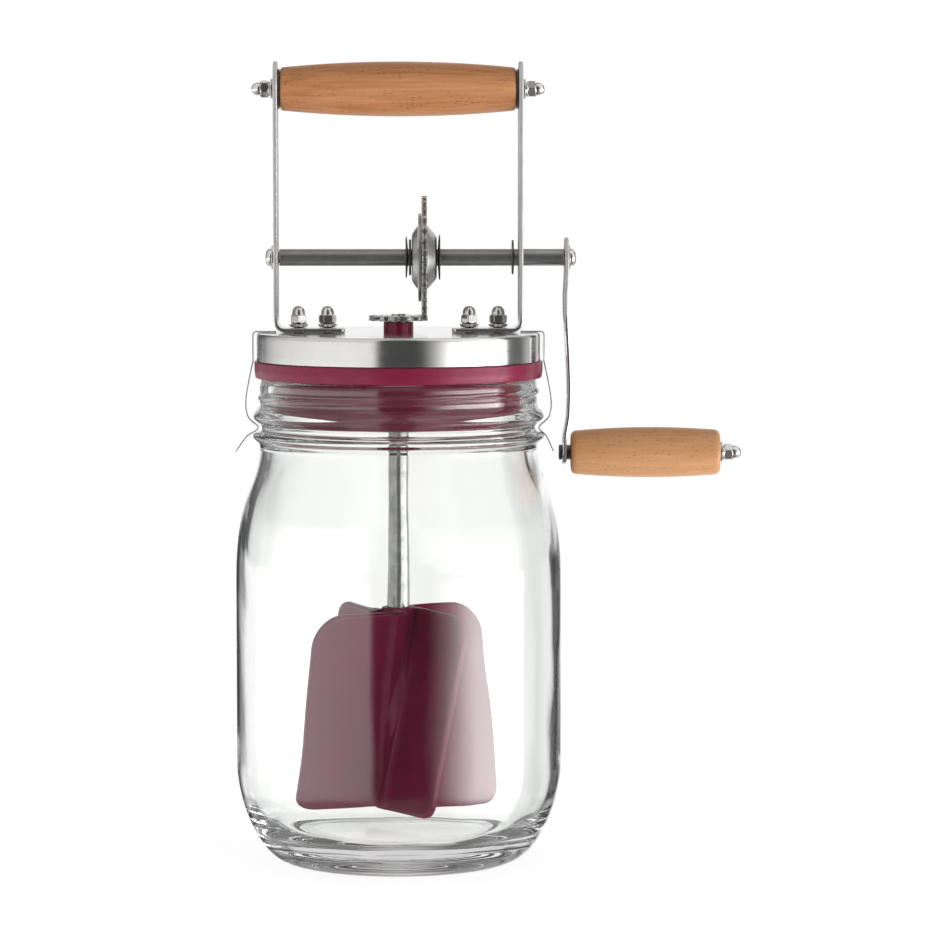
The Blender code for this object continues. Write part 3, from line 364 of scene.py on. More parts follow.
def spread(tree, value, low, high, from_low=0.3, from_high=0.7):
    """A noise value spread over a range."""
    return node(tree, "ShaderNodeMapRange", {0: value, 1: from_low, 2: from_high, 3: low, 4: high})


def wear(tree, shader, colour, rough, relief):
    """Gives a shader its colour, its roughness and the relief that bends its normal."""
    for socket, value in (("Base Color", colour), ("Roughness", rough), ("Normal", relief)):
        feed(tree, value, shader.inputs[socket])


# Finishes

def steel(name, tone, gloss, line, lines_on, depth=0.004, blotch=6.0):
    """A steel with tool or polishing lines that are so many millimetres apart."""
    # Real lines are far finer than a pixel, so they are drawn as coarse as they need to show.
    made, tree, shader, place = new_finish(name, {"Metallic": 1.0, "IOR": 1.5})
    vector = lines_on(tree, place)
    lines = node(tree, "ShaderNodeTexNoise", {
        "Vector": vector, "Scale": spacing(line), "Detail": 2.0, "Roughness": 0.5,
    })
    cloud = node(tree, "ShaderNodeTexNoise", {
        "Vector": place, "Scale": spacing(blotch), "Detail": 3.0, "Roughness": 0.5,
    })
    both = node(tree, "ShaderNodeMix", {0: 0.35, 2: lines, 3: cloud})
    rough = spread(tree, both, gloss[0], gloss[1])
    colour = node(tree, "ShaderNodeMix", {
        0: spread(tree, cloud, 0.0, 1.0), 6: linear(tone[0]), 7: linear(tone[1]),
    }, data_type="RGBA")
    relief = node(tree, "ShaderNodeBump", {
        "Strength": 0.25, "Distance": depth * MM, "Height": lines,
    })
    wear(tree, shader, colour, rough, relief)
    return made


def satin_above(made, height, low, high):
    """Makes a steel duller above a height, with the change spread over a few millimetres."""
    tree = made.node_tree
    shader = tree.nodes["Principled BSDF"]
    place = tree.nodes["Texture Coordinate"].outputs["Object"]
    upward = node(tree, "ShaderNodeSeparateXYZ", {0: place}).outputs[2]
    dull = spread(tree, upward, low, high, height * MM, (height + 4) * MM)
    lines = shader.inputs["Roughness"].links[0].from_socket
    both = node(tree, "ShaderNodeMath", {0: lines, 1: dull}, operation="ADD")
    feed(tree, both, shader.inputs["Roughness"])


def stretched(scale):
    """Polishing lines that run straight along one direction."""
    def lines_on(tree, place):
        return node(tree, "ShaderNodeMapping", {0: place, 3: scale})
    return lines_on


def spun(centre, axis):
    """Lines that run round a turning axis, as a lathe or a spinning mop leaves them."""
    def lines_on(tree, place):
        return rounds_of(tree, place, centre, axis)
    return lines_on


def beech(name, pale, deep, fleck, shift):
    """Beech with long grain, broad bands and short dark flecks, as its rays leave."""
    made, tree, shader, place = new_finish(name, {"IOR": 1.46, "Specular IOR Level": 0.42})
    along = node(tree, "ShaderNodeMapping", {0: place, 1: (shift, 0, 0), 3: (0.05, 1, 1)})
    grain = node(tree, "ShaderNodeTexNoise", {
        "Vector": along, "Scale": spacing(1.1), "Detail": 6.0, "Roughness": 0.62,
    })
    bands = node(tree, "ShaderNodeTexNoise", {
        "Vector": along, "Scale": spacing(6.5), "Detail": 2.0, "Distortion": 0.4,
    })
    short = node(tree, "ShaderNodeMapping", {0: place, 1: (shift, 0, 0), 3: (0.34, 1, 1)})
    cells = node(tree, "ShaderNodeTexVoronoi", {
        "Vector": short, "Scale": spacing(0.85), "Randomness": 1.0,
    })
    chosen = node(tree, "ShaderNodeSeparateColor", {0: cells.outputs["Color"]})
    some = spread(tree, chosen, 0.0, 1.0, 0.3, 0.5)
    thin = spread(tree, cells.outputs["Distance"], 1.0, 0.0, 0.12, 0.3)
    flecks = node(tree, "ShaderNodeMath", {0: some, 1: thin}, operation="MULTIPLY")
    patchy = node(tree, "ShaderNodeMath", {
        0: flecks, 1: spread(tree, bands, 0.15, 0.95, 0.35, 0.6),
    }, operation="MULTIPLY")
    tone = node(tree, "ShaderNodeMix", {
        0: 0.45, 2: spread(tree, grain, 0.0, 1.0),
        3: spread(tree, bands, 0.0, 1.0),
    })
    ground = node(tree, "ShaderNodeMix", {
        0: tone, 6: linear(pale), 7: linear(deep),
    }, data_type="RGBA")
    colour = node(tree, "ShaderNodeMix", {
        0: patchy, 6: ground, 7: linear(fleck),
    }, data_type="RGBA")
    relief = node(tree, "ShaderNodeBump", {
        "Strength": 0.3, "Distance": 0.05 * MM, "Height": grain,
    })
    wear(tree, shader, colour, spread(tree, grain, 0.36, 0.5), relief)
    return made


def moulded(name, tones, gloss, ior, flow, pebble):
    """A moulded plastic or rubber with faint flow marks and an orange-peel skin."""
    # The skin's real pebbles are under a millimetre, and are drawn as coarse as they need to show.
    made, tree, shader, place = new_finish(name, {
        "IOR": ior, "Specular Tint": linear("#ffe0ef"),
    })
    marks = node(tree, "ShaderNodeTexNoise", {
        "Vector": place, "Scale": spacing(flow), "Detail": 3.0, "Distortion": 0.8,
    })
    peel = node(tree, "ShaderNodeTexNoise", {
        "Vector": place, "Scale": spacing(pebble), "Detail": 2.0,
    })
    colour = node(tree, "ShaderNodeMix", {
        0: spread(tree, marks, 0.0, 1.0), 6: linear(tones[0]), 7: linear(tones[1]),
    }, data_type="RGBA")
    relief = node(tree, "ShaderNodeBump", {
        "Strength": 0.08, "Distance": 0.01 * MM, "Height": peel,
    })
    wear(tree, shader, colour, spread(tree, marks, *gloss), relief)
    return made


def pressed_glass():
    """Clear soda-lime glass, pressed in an iron mould and fire polished."""
    # The eye sees bright glass with slightly wavering refractions and a trace of green in its edges.
    made, tree, shader, place = new_finish("pressed soda-lime glass", {
        "Transmission Weight": 1.0, "IOR": 1.52, "Base Color": linear("#fefffe"),
    })
    ripple = node(tree, "ShaderNodeTexNoise", {
        "Vector": place, "Scale": spacing(9.0), "Detail": 2.0, "Roughness": 0.4,
    })
    relief = node(tree, "ShaderNodeBump", {
        "Strength": 0.2, "Distance": 0.1 * MM, "Height": ripple,
    })
    feed(tree, spread(tree, ripple, 0.0, 0.012), shader.inputs["Roughness"])
    feed(tree, relief, shader.inputs["Normal"])
    return made


AXIS = (AXIS_X, 0, 0)
AXLE_CENTRE = (0, 0, AXLE_Z * MM)
GLASS = pressed_glass()
# Stainless sheet, spun against a mop: soft mirror with lines that run round the lid.
LID_STEEL = steel("mop-polished stainless sheet", ("#d9d8d7", "#d2d1d0"), (0.10, 0.17), 0.9,
                  spun(AXIS, "Z"))
# Stainless flat bar, linished along its length: light grey with a satin sheen.
BAR_STEEL = steel("linished stainless bar", ("#d6d5d4", "#c9c8c7"), (0.13, 0.22), 0.8,
                  stretched((1, 1, 0.04)), 0.006)
satin_above(BAR_STEEL, 190, 0.0, 0.4)
# Nickel-plated brass, bright: sharp small reflections on nuts, washers and caps.
NICKEL = steel("bright nickel plate", ("#dad8d5", "#cfcdca"), (0.05, 0.10), 1.0,
               stretched((1, 1, 1)), 0.003, 2.0)
# Cold-drawn steel rod, ground round: darker, with fine rings round it.
AXLE_STEEL = steel("ground steel rod", ("#adadac", "#a1a1a0"), (0.28, 0.38), 1.1,
                   spun(AXLE_CENTRE, "X"))
# Stainless rod, polished: brighter than the axle, a little cloudy, with faint rings.
SHAFT_STEEL = steel("polished stainless rod", ("#c6c6c5", "#a9a9a8"), (0.1, 0.24), 1.0,
                    spun(AXIS, "Z"), 0.004, 4.0)
# Pressed steel blanks, zinc plated and passivated: mid grey, a little cloudy.
GEAR_STEEL = steel("zinc-plated gear blank", ("#b6b5b4", "#a3a2a1"), (0.2, 0.32), 1.2,
                   stretched((1, 1, 1)), 0.003, 3.0)
# Spun steel dishes: grey with turning lines.
HUB_STEEL = steel("turned steel dish", ("#bdbdbc", "#adadac"), (0.26, 0.34), 0.9,
                  spun(AXLE_CENTRE, "X"), 0.005)
# Phosphated retaining clips and bolts: dark grey and dull.
CLIP_STEEL = steel("phosphated spring steel", ("#6a6968", "#504f4e"), (0.26, 0.4), 0.8,
                   stretched((1, 1, 1)), 0.005, 2.5)
# Hard-rolled spring strip: cool bright grey with rolling lines down its length.
SPRING_STEEL = steel("rolled spring strip", ("#cacbcc", "#bcbdbe"), (0.12, 0.2), 0.8,
                     stretched((1, 1, 0.05)), 0.004)
# Steamed beech, turned and oiled: warm brown, with fine grain and short dark flecks.
HANDLE_BEECH = beech("oiled beech handle", "#d99b6b", "#a96839", "#84502e", 0.013)
KNOB_BEECH = beech("oiled beech knob", "#dfa97a", "#c88c5b", "#a06a40", 0.171)
# Polypropylene, injection moulded in a polished tool: deep wine red and glossy.
PADDLE_PLASTIC = moulded("moulded polypropylene", ("#871346", "#7c1140"), (0.18, 0.26), 1.49, 14, 2.4)
PLUG_PLASTIC = moulded("moulded lid plastic", ("#881b44", "#7f183f"), (0.16, 0.26), 1.49, 10, 2.0)
# Silicone rubber, compression moulded: the same red, softer and less glossy.
SEAL_RUBBER = moulded("silicone rubber", ("#85203f", "#791c38"), (0.24, 0.34), 1.41, 8, 1.6)


# Trees that repeat or follow a rule

def new_tree(name, inputs):
    """A geometry tree with named inputs, and the sockets that carry them."""
    tree = bpy.data.node_groups.new(name, "GeometryNodeTree")
    tree.interface.new_socket("Geometry", in_out="OUTPUT", socket_type="NodeSocketGeometry")
    tree.interface.new_socket("Geometry", in_out="INPUT", socket_type="NodeSocketGeometry")
    for label, kind in inputs:
        tree.interface.new_socket(label, in_out="INPUT", socket_type=f"NodeSocket{kind}")
    return tree, tree.nodes.new("NodeGroupInput").outputs


def end_tree(tree, geometry, material):
    real = node(tree, "GeometryNodeRealizeInstances", {0: geometry})
    dressed = node(tree, "GeometryNodeSetMaterial", {"Geometry": real, "Material": material})
    node(tree, "NodeGroupOutput", {0: dressed})


def grown(name, mesh, tree, inputs, bevel=None):
    """Runs a tree on a mesh, with a bevel after it if asked, and returns a plain mesh."""
    carrier = placed(name, mesh)
    step = carrier.modifiers.new(tree.name, "NODES")
    step.node_group = tree
    for item in tree.interface.items_tree:
        if item.in_out == "INPUT" and item.name in inputs:
            step[item.identifier] = inputs[item.name]
    if bevel:
        edge = carrier.modifiers.new("eased edges", "BEVEL")
        edge.width = bevel
        edge.segments = 2
        edge.limit_method = "ANGLE"
        edge.angle_limit = math.radians(40)
        edge.use_clamp_overlap = True
    bpy.context.view_layer.update()
    graph = bpy.context.evaluated_depsgraph_get()
    made = bpy.data.meshes.new_from_object(carrier.evaluated_get(graph))
    carrier.modifiers.clear()
    bpy.data.objects.remove(carrier)
    return made


def sums(tree, operation, *values):
    """One step of arithmetic in a tree."""
    return node(tree, "ShaderNodeMath", dict(enumerate(values)), operation=operation)


def toothed_plate_tree():
    """A toothed plate whose flanks follow an arch from a wide root to a narrow tip."""
    points_per_tooth = 10
    tree, given = new_tree("toothed plate", (
        ("Teeth", "Int"), ("Tip radius", "Float"), ("Tooth depth", "Float"),
        ("Root share", "Float"), ("Tip share", "Float"), ("Thickness", "Float"),
        ("Bore", "Float"), ("Start turn", "Float"), ("Material", "Material"),
    ))
    count = sums(tree, "MULTIPLY", given["Teeth"], points_per_tooth)
    rim = node(tree, "GeometryNodeCurvePrimitiveCircle", {"Resolution": count})
    index = node(tree, "GeometryNodeInputIndex")
    tooth = sums(tree, "FLOOR", sums(tree, "DIVIDE", index, points_per_tooth))
    step = sums(tree, "MODULO", index, points_per_tooth)
    from_end = sums(tree, "SUBTRACT", points_per_tooth - 1, step)
    rise = sums(tree, "DIVIDE", sums(tree, "MINIMUM", step, from_end), points_per_tooth / 2 - 1)
    fall = sums(tree, "SUBTRACT", 1.0, rise)
    drop = sums(tree, "MULTIPLY", given["Tooth depth"], sums(tree, "MULTIPLY", fall, fall))
    radius = sums(tree, "SUBTRACT", given["Tip radius"], drop)
    width = sums(tree, "SUBTRACT", given["Root share"], sums(
        tree, "MULTIPLY", rise, sums(tree, "SUBTRACT", given["Root share"], given["Tip share"]),
    ))
    side = sums(tree, "SIGN", sums(tree, "SUBTRACT", step, (points_per_tooth - 1) / 2))
    share = sums(tree, "MULTIPLY_ADD", side, sums(tree, "DIVIDE", width, 2.0), tooth)
    turn = sums(tree, "MULTIPLY_ADD", share, sums(tree, "DIVIDE", math.tau, given["Teeth"]),
                given["Start turn"])
    place = node(tree, "ShaderNodeCombineXYZ", {
        0: sums(tree, "MULTIPLY", radius, sums(tree, "COSINE", turn)),
        1: sums(tree, "MULTIPLY", radius, sums(tree, "SINE", turn)),
    })
    shaped = node(tree, "GeometryNodeSetPosition", {"Geometry": rim, "Position": place})
    bore = node(tree, "GeometryNodeCurvePrimitiveCircle", {
        "Resolution": 48, "Radius": given["Bore"],
    })
    joined = node(tree, "GeometryNodeJoinGeometry", {0: [shaped, bore]})
    face = node(tree, "GeometryNodeFillCurve", {0: joined}, mode="NGONS")
    raised = node(tree, "GeometryNodeExtrudeMesh", {
        "Mesh": face, "Offset Scale": given["Thickness"], "Individual": False,
    })
    under = node(tree, "GeometryNodeFlipFaces", {0: face})
    shut = node(tree, "GeometryNodeJoinGeometry", {0: [raised, under]})
    merged = node(tree, "GeometryNodeMergeByDistance", {"Geometry": shut, "Distance": MERGE})
    end_tree(tree, merged, given["Material"])
    return tree


def fastener_tree():
    """Sets one fastener on every seat, turned to the way that the seat faces."""
    tree, given = new_tree("fasteners on their seats", (
        ("Fastener", "Object"), ("Material", "Material"),
    ))
    model = node(tree, "GeometryNodeObjectInfo", {"Object": given["Fastener"]})
    facing = node(tree, "GeometryNodeInputNamedAttribute", {"Name": "outward"},
                  data_type="FLOAT_VECTOR")
    turn = node(tree, "GeometryNodeInputNamedAttribute", {"Name": "turn"}, data_type="FLOAT")
    aimed = node(tree, "FunctionNodeAlignRotationToVector", {
        "Vector": facing.outputs["Attribute"],
    }, axis="Z")
    spin = node(tree, "FunctionNodeAxisAngleToRotation", {
        "Axis": (0, 0, 1), "Angle": turn.outputs["Attribute"],
    })
    wound = node(tree, "FunctionNodeRotateRotation", {
        "Rotation": aimed, "Rotate By": spin,
    }, rotation_space="LOCAL")
    rows = node(tree, "GeometryNodeInstanceOnPoints", {
        "Points": given["Geometry"], "Instance": model.outputs["Geometry"],
        "Rotation": wound,
    })
    end_tree(tree, rows, given["Material"])
    return tree


def blades_tree():
    """Blades set round a hub, each pitched about its own radius, and joined with the hub."""
    tree, given = new_tree("pitched blades round a hub", (
        ("Blade", "Object"), ("Blades", "Int"), ("Pitch", "Float"), ("Start turn", "Float"),
        ("Material", "Material"),
    ))
    points = node(tree, "GeometryNodeMeshLine", {"Count": given["Blades"], "Offset": (0, 0, 0)})
    model = node(tree, "GeometryNodeObjectInfo", {"Object": given["Blade"]})
    index = node(tree, "GeometryNodeInputIndex")
    share = sums(tree, "DIVIDE", math.tau, given["Blades"])
    turn = sums(tree, "MULTIPLY_ADD", index, share, given["Start turn"])
    pitch = sums(tree, "MULTIPLY", given["Pitch"], -1.0)
    angles = node(tree, "ShaderNodeCombineXYZ", {0: pitch, 2: turn})
    set_round = node(tree, "GeometryNodeInstanceOnPoints", {
        "Points": points, "Instance": model.outputs["Geometry"],
        "Rotation": angles,
    })
    real = node(tree, "GeometryNodeRealizeInstances", {0: set_round})
    union = node(tree, "GeometryNodeMeshBoolean", {
        "Self Intersection": True, "Mesh 2": [given["Geometry"], real],
    }, operation="UNION", solver="EXACT")
    end_tree(tree, union, given["Material"])
    return tree


def glass_tree():
    """Raises a screw thread on a turned neck, and lets the pressed walls waver a little."""
    tree, given = new_tree("pressed jar", (
        ("Thread start", "Float"), ("Pitch", "Float"), ("Ridge", "Float"), ("Half width", "Float"),
        ("Turns", "Float"), ("Fade", "Float"), ("Neck radius", "Float"), ("Lowest", "Float"),
        ("Highest", "Float"), ("Wall waver", "Float"), ("Waver size", "Float"),
        ("Material", "Material"),
    ))
    position = node(tree, "GeometryNodeInputPosition")
    split = node(tree, "ShaderNodeSeparateXYZ", {0: position}).outputs
    flat = node(tree, "ShaderNodeCombineXYZ", {0: split[0], 1: split[1]})
    radius = node(tree, "ShaderNodeVectorMath", {0: flat}, operation="LENGTH")
    outward = node(tree, "ShaderNodeVectorMath", {0: flat}, operation="NORMALIZE")
    angle = sums(tree, "ARCTAN2", split[1], split[0])
    wound = sums(tree, "FRACT", sums(tree, "ADD", sums(tree, "DIVIDE", angle, math.tau), 1.0))
    ridges = []
    for turn in (0.0, 1.0):
        height = sums(tree, "ADD", wound, turn)
        start = sums(tree, "DIVIDE", height, given["Fade"])
        end = sums(tree, "DIVIDE", sums(tree, "SUBTRACT", given["Turns"], height), given["Fade"])
        fade = sums(tree, "MINIMUM", sums(tree, "MINIMUM", start, end), 1.0)
        fade = sums(tree, "MAXIMUM", fade, 0.0)
        centre = sums(tree, "MULTIPLY_ADD", given["Pitch"], height, given["Thread start"])
        away = sums(tree, "DIVIDE", sums(tree, "SUBTRACT", split[2], centre), given["Half width"])
        bulge = sums(tree, "SUBTRACT", 1.0, sums(tree, "MULTIPLY", away, away))
        bulge = sums(tree, "MULTIPLY", fade, sums(tree, "MAXIMUM", bulge, 0.0))
        ridges.append(sums(tree, "MULTIPLY", bulge, given["Ridge"]))
    outer = sums(tree, "GREATER_THAN", radius, sums(tree, "SUBTRACT", given["Neck radius"], 0.2))
    above = sums(tree, "GREATER_THAN", split[2], given["Lowest"])
    below = sums(tree, "LESS_THAN", split[2], given["Highest"])
    on_neck = sums(tree, "MULTIPLY", outer, sums(tree, "MULTIPLY", above, below))
    thread = sums(tree, "MULTIPLY", sums(tree, "MAXIMUM", *ridges), on_neck)
    threaded = node(tree, "GeometryNodeSetPosition", {
        "Geometry": given["Geometry"],
        "Offset": node(tree, "ShaderNodeVectorMath", {
            0: outward, "Scale": thread,
        }, operation="SCALE"),
    })
    normal = node(tree, "GeometryNodeInputNormal")
    tall = node(tree, "ShaderNodeVectorMath", {
        0: position, 1: (1.0, 1.0, 0.45),
    }, operation="MULTIPLY")
    waver = node(tree, "ShaderNodeTexNoise", {
        "Vector": tall, "Scale": sums(tree, "DIVIDE", 1.0, given["Waver size"]),
        "Detail": 1.0,
    })
    facing = node(tree, "ShaderNodeVectorMath", {0: normal, 1: outward}, operation="DOT_PRODUCT")
    inside = sums(tree, "LESS_THAN", facing, -0.2)
    amount = sums(tree, "MULTIPLY", sums(tree, "SUBTRACT", waver, 0.5),
                  sums(tree, "MULTIPLY", given["Wall waver"], inside))
    wavering = node(tree, "GeometryNodeSetPosition", {
        "Geometry": threaded,
        "Offset": node(tree, "ShaderNodeVectorMath", {
            0: normal, "Scale": amount,
        }, operation="SCALE"),
    })
    end_tree(tree, wavering, given["Material"])
    return tree


# Jar

# The heights that pull the shoulder's curve, and points on the neck's two beads
SHOULDER_HEIGHTS = (100.0, 130.0, 135.0, 147.0)
NECK_BEADS = (
    (49.2, 147.7), (50.1, 148.5), (51.2, 149.5), (51.75, 150.3), (51.7, 150.9), (51.1, 151.35),
    (49.9, 151.6), (48.8, 151.8), (48.4, 152.2), (48.3, 152.8), (48.3, 153.7), (48.5, 154.3),
    (49.2, 155.0), (50.4, 155.8), (51.3, 156.6), (51.6, 157.4), (51.4, 158.2), (50.6, 159.2),
    (49.6, 160.2), (49.0, 161.0),
)


def heel_points(foot, wide, low, power, steps=40):
    """The heel's curve from its foot up to the wall, a superellipse."""
    points = []
    for step in range(1, steps + 1):
        angle = math.pi / 2 * step / steps
        across = math.sin(angle) ** (2 / power)
        down = math.cos(angle) ** (2 / power)
        points.append((foot + (wide - foot) * across, HEEL_TOP - (HEEL_TOP - low) * down))
    return points


def shoulder_points(inset, steps=40):
    """The shoulder's curve from the wall up to the neck, moved in by the wall's thickness."""
    wide, narrow = JAR_RADIUS - inset, NECK_RADIUS - inset
    points = []
    for step in range(steps + 1):
        t = step / steps
        weights = ((1 - t) ** 3, 3 * (1 - t) ** 2 * t, 3 * (1 - t) * t**2, t**3)
        height = sum(weight * place for weight, place in zip(weights, SHOULDER_HEIGHTS))
        radius = wide * (weights[0] + weights[1]) + narrow * (weights[2] + weights[3])
        points.append((radius, height))
    return points


def push_up(radius, middle, edge, steps=12):
    """A bottom that rises a little from its edge to its middle."""
    shares = [step / steps for step in range(steps + 1)]
    return [(radius * share, middle + (edge - middle) * share**2) for share in shares]


def resampled(outline, plain, fine, fine_above, fine_below, softenings):
    """Evenly spaced points along an outline, closer where it is detailed, and softened."""
    knots = [Vector(point) for point in outline]
    points = [knots[0]]
    gap = fine
    travelled = 0.0
    for start, end in zip(knots, knots[1:]):
        length = (end - start).length
        while travelled + length >= gap and length > 0:
            share = (gap - travelled) / length
            start = start.lerp(end, share)
            length = (end - start).length
            points.append(start)
            travelled = 0.0
            detailed = start.y > fine_above or start.y < fine_below
            gap = fine if detailed else plain
        travelled += length
    points[-1] = knots[-1]
    for _ in range(softenings):
        middles = [
            before * 0.25 + here * 0.5 + after * 0.25
            for before, here, after in zip(points, points[1:], points[2:])
        ]
        points = [points[0]] + middles + [points[-1]]
    return [(point.x, point.y) for point in points]


def bead_hollow(height):
    """How far the neck's inner wall is drawn out behind its two beads."""
    hollow = 0.0
    for low, middle, high, depth in ((146.45, 150.87, 152.54, 3.2), (153.78, 156.93, 161.38, 2.6)):
        if low < height < high:
            half = middle - low if height < middle else high - middle
            hollow += depth * math.cos(math.pi / 2 * (height - middle) / half) ** 2
    return hollow


def build_jar():
    """A pressed jar: rounded heel, long shoulder, two beads with a groove, and a screw thread."""
    bottom, rounding = 3.0, 1.2
    mouth, neck_top, neck_foot, rows = 45.2, 162.4, 147.6, 37
    outline = push_up(37.0, bottom, 1.5)
    outline += [(FOOT_INNER_RADIUS, 0), (FOOT_RADIUS, 0)]
    outline += heel_points(FOOT_RADIUS, JAR_RADIUS, 0, 1.65)
    outline += shoulder_points(0)
    outline += NECK_BEADS
    for out, start in ((NECK_RADIUS - rounding, 0), (mouth + 0.2 + rounding, 90)):
        outline += arc((out, RIM_Z - rounding), (rounding, rounding), start, start + 90, 8)
    for row in range(rows + 1):
        height = neck_top + (neck_foot - neck_top) * row / rows
        outline.append((mouth + bead_hollow(height), height))
    outline += reversed(shoulder_points(GLASS_WALL))
    inner_heel = heel_points(FLOOR_INNER_RADIUS, JAR_RADIUS - GLASS_WALL, FLOOR_TOP - 1, 2.4)
    outline += reversed(inner_heel)
    outline += reversed(push_up(FLOOR_INNER_RADIUS, FLOOR_TOP, FLOOR_TOP - 1))
    profile = resampled(outline, 1.4, 0.5, 144.0, 5.0, 3)
    profile[0], profile[-1] = (0, bottom), (0, FLOOR_TOP)
    blank = meshed("jar_blank", lathe(profile, 160))
    mesh = grown("jar_blank", blank, glass_tree(), {
        "Thread start": 161.8, "Pitch": 4.5, "Ridge": 0.8, "Half width": 1.3, "Turns": 1.3,
        "Fade": 0.12, "Neck radius": NECK_RADIUS, "Lowest": 159.8, "Highest": 169.0,
        "Wall waver": 0.9, "Waver size": 26.0, "Material": GLASS,
    })
    mesh.transform(TO_FRAME)
    mesh.shade_smooth()
    settle("pressed_glass_jar", mesh, GLASS, "jar", "glass_jar")


# Lid

def build_lid():
    """The steel cap, and the seal, the plug and the bush under it."""
    top, inner = LID_TOP - LID_Z, LID_RADIUS - LID_SHEET
    cap = [(BUSH_HOLE, top - LID_SHEET, 0.1), (inner - 0.5, top - LID_SHEET)]
    cap += [(inner - 0.2, top - LID_SHEET - 0.15), (inner, top - LID_SHEET - 0.5)]
    cap += [(inner, 0, 0.12), (LID_RADIUS, 0, 0.2), (LID_RADIUS, top, 1.2), (BUSH_HOLE, top, 0.2)]

    wide, thick = 50.9, 5.8
    seal = [(46.0, 0, 0.3), (50.5, 0, 0.4), (wide, 2.0, 0.9), (wide, thick, 0.35)]
    seal += [(46.0, thick, 0.3)]

    ceiling, bottom, skirt, well, flange = 186.05, 156.4, 44.4, 41.8, 49.2
    floor, seat = 159.0, 177.1
    plug = [(BUSH_HOLE, ceiling, 0.2), (BUSH_HOLE, bottom, 0.3), (skirt, bottom, 1.3)]
    for rib in (161.5, 166.0):
        for out, up in ((0, -0.9), (0.45, -0.45), (0.6, 0), (0.45, 0.45), (0, 0.9)):
            plug.append((skirt + out, rib + up))
    plug += [(skirt, 169.7, 0.4), (45.8, SEAL_Z, 0.2), (45.8, seat, 0.1), (flange, seat, 0.3)]
    plug += [(flange, ceiling, 0.3), (46.6, ceiling, 0.3), (46.6, 179.3, 0.3), (well, 179.3, 0.3)]
    plug += [(well, floor, 0.6), (9.0, floor, 0.6), (9.0, ceiling, 0.3)]

    low, ledge, high, tube = 154.75, 156.25, 190.59, 5.3
    bush = [(SHAFT_BORE, low, 0.2), (8.0, low, 0.3), (8.0, ledge, 0.2), (tube, ledge, 0.1)]
    bush += [(tube, high, 0.5), (SHAFT_BORE, high, 0.3)]

    for name, outline, steps, z, finish, solid in (
        ("lid_steel_cap", cap, 200, LID_Z, LID_STEEL, "lid_cap"),
        ("lid_rubber_seal", seal, 200, SEAL_Z, SEAL_RUBBER, "seal_ring"),
        ("lid_moulded_plug", plug, 180, 0, PLUG_PLASTIC, "lid_plug"),
        ("lid_moulded_bush", bush, 72, 0, PLUG_PLASTIC, "lid_bush"),
    ):
        turned(name, eased(outline), steps, at_height(z), finish, "lid", solid)


def build_clip(name, side, flare, solid):
    """A spring strip: over the lid's edge, bowed past the upper bead, pinched in and flared."""
    thick, start, wall, top, bend = 0.4, 43.1, 51.3, 187.25, 1.2
    bead, bow_z, pinch, pinch_z, drop = 51.6, 162.2, 49.7, 153.2, 8.7
    bow, tail = bead + 2.4, bead + flare
    path = [(start, top), (48.9, top)]
    path += reversed(arc((wall - bend, top - bend), (bend, bend), 0, 90, 8))
    spring = [
        (wall, LID_Z), (wall + (bow - wall) * 0.6, (LID_Z + bow_z) / 2), (bow, bow_z),
        (bow - (bow - pinch) * 0.2, 157.0), (pinch, pinch_z),
        ((pinch + tail) / 2, pinch_z - drop * 0.36), (tail, pinch_z - drop),
    ]
    path += smooth_through(spring, 9)
    total = sum(math.dist(here, ahead) for here, ahead in zip(path, path[1:]))

    wide, narrow, taper_from, corner, tip = 9.5, 4.0, 16.5, 1.2, 2.0
    edge = []
    for step in range(41):
        stop = corner + (total - corner - tip) * step / 40
        share = min(1.0, max(0.0, (stop - taper_from) / ((total - taper_from) / 2)))
        edge.append((stop, (wide + (narrow - wide) * (3 * share**2 - 2 * share**3)) / 2))
    outline = [(x, -half) for x, half in edge]
    outline += arc((total - tip, 0), (tip, tip), -75, 75, 10)
    outline += [(x, half) for x, half in reversed(edge)]
    outline += arc((corner, wide / 2 - corner), (corner, corner), 100, 180, 5)
    outline += arc((corner, corner - wide / 2), (corner, corner), 180, 260, 5)
    shape = bent(plate([outline], thick, 0.12), path)
    settle(name, sided(name, shape, side), SPRING_STEEL, "lid", solid)


# Frame and handle

def build_bracket(name, side, axle_hole, solid):
    """A flat bar with a round top, bent inwards into a foot with two screws."""
    reach, turn, end, corner = 9.7, 3.2, 18.8, 1.5
    top = HANDLE_Z + reach
    foot = LID_TOP + 0.15 + BAR_THICK / 2
    path = [(BAR_X, top), (BAR_X, foot + turn)]
    path += arc((BAR_X - turn, foot + turn), (turn, turn), 0, -90, 12)[1:]
    path += [(end, foot)]
    flat_from = top - foot - turn + turn * math.pi / 2
    total = flat_from + BAR_X - turn - end
    outline = arc((BAR_HALF_WIDTH, 0), (BAR_HALF_WIDTH, BAR_HALF_WIDTH), 90, 270, 32)
    for out, start in ((corner - BAR_HALF_WIDTH, -90), (BAR_HALF_WIDTH - corner, 0)):
        outline += arc((total - corner, out), (corner, corner), start, start + 90, 6)
    loops = [outline, hole(reach, SCREW_HOLE), hole(top - AXLE_Z, axle_hole)]
    for place in (25.0, 35.2):
        loops.append(hole(total + end - place, SCREW_HOLE))
    shape = bent(plate(loops, BAR_THICK, 0.45), path)
    settle(name, sided(name, shape, side), BAR_STEEL, "lid", solid)


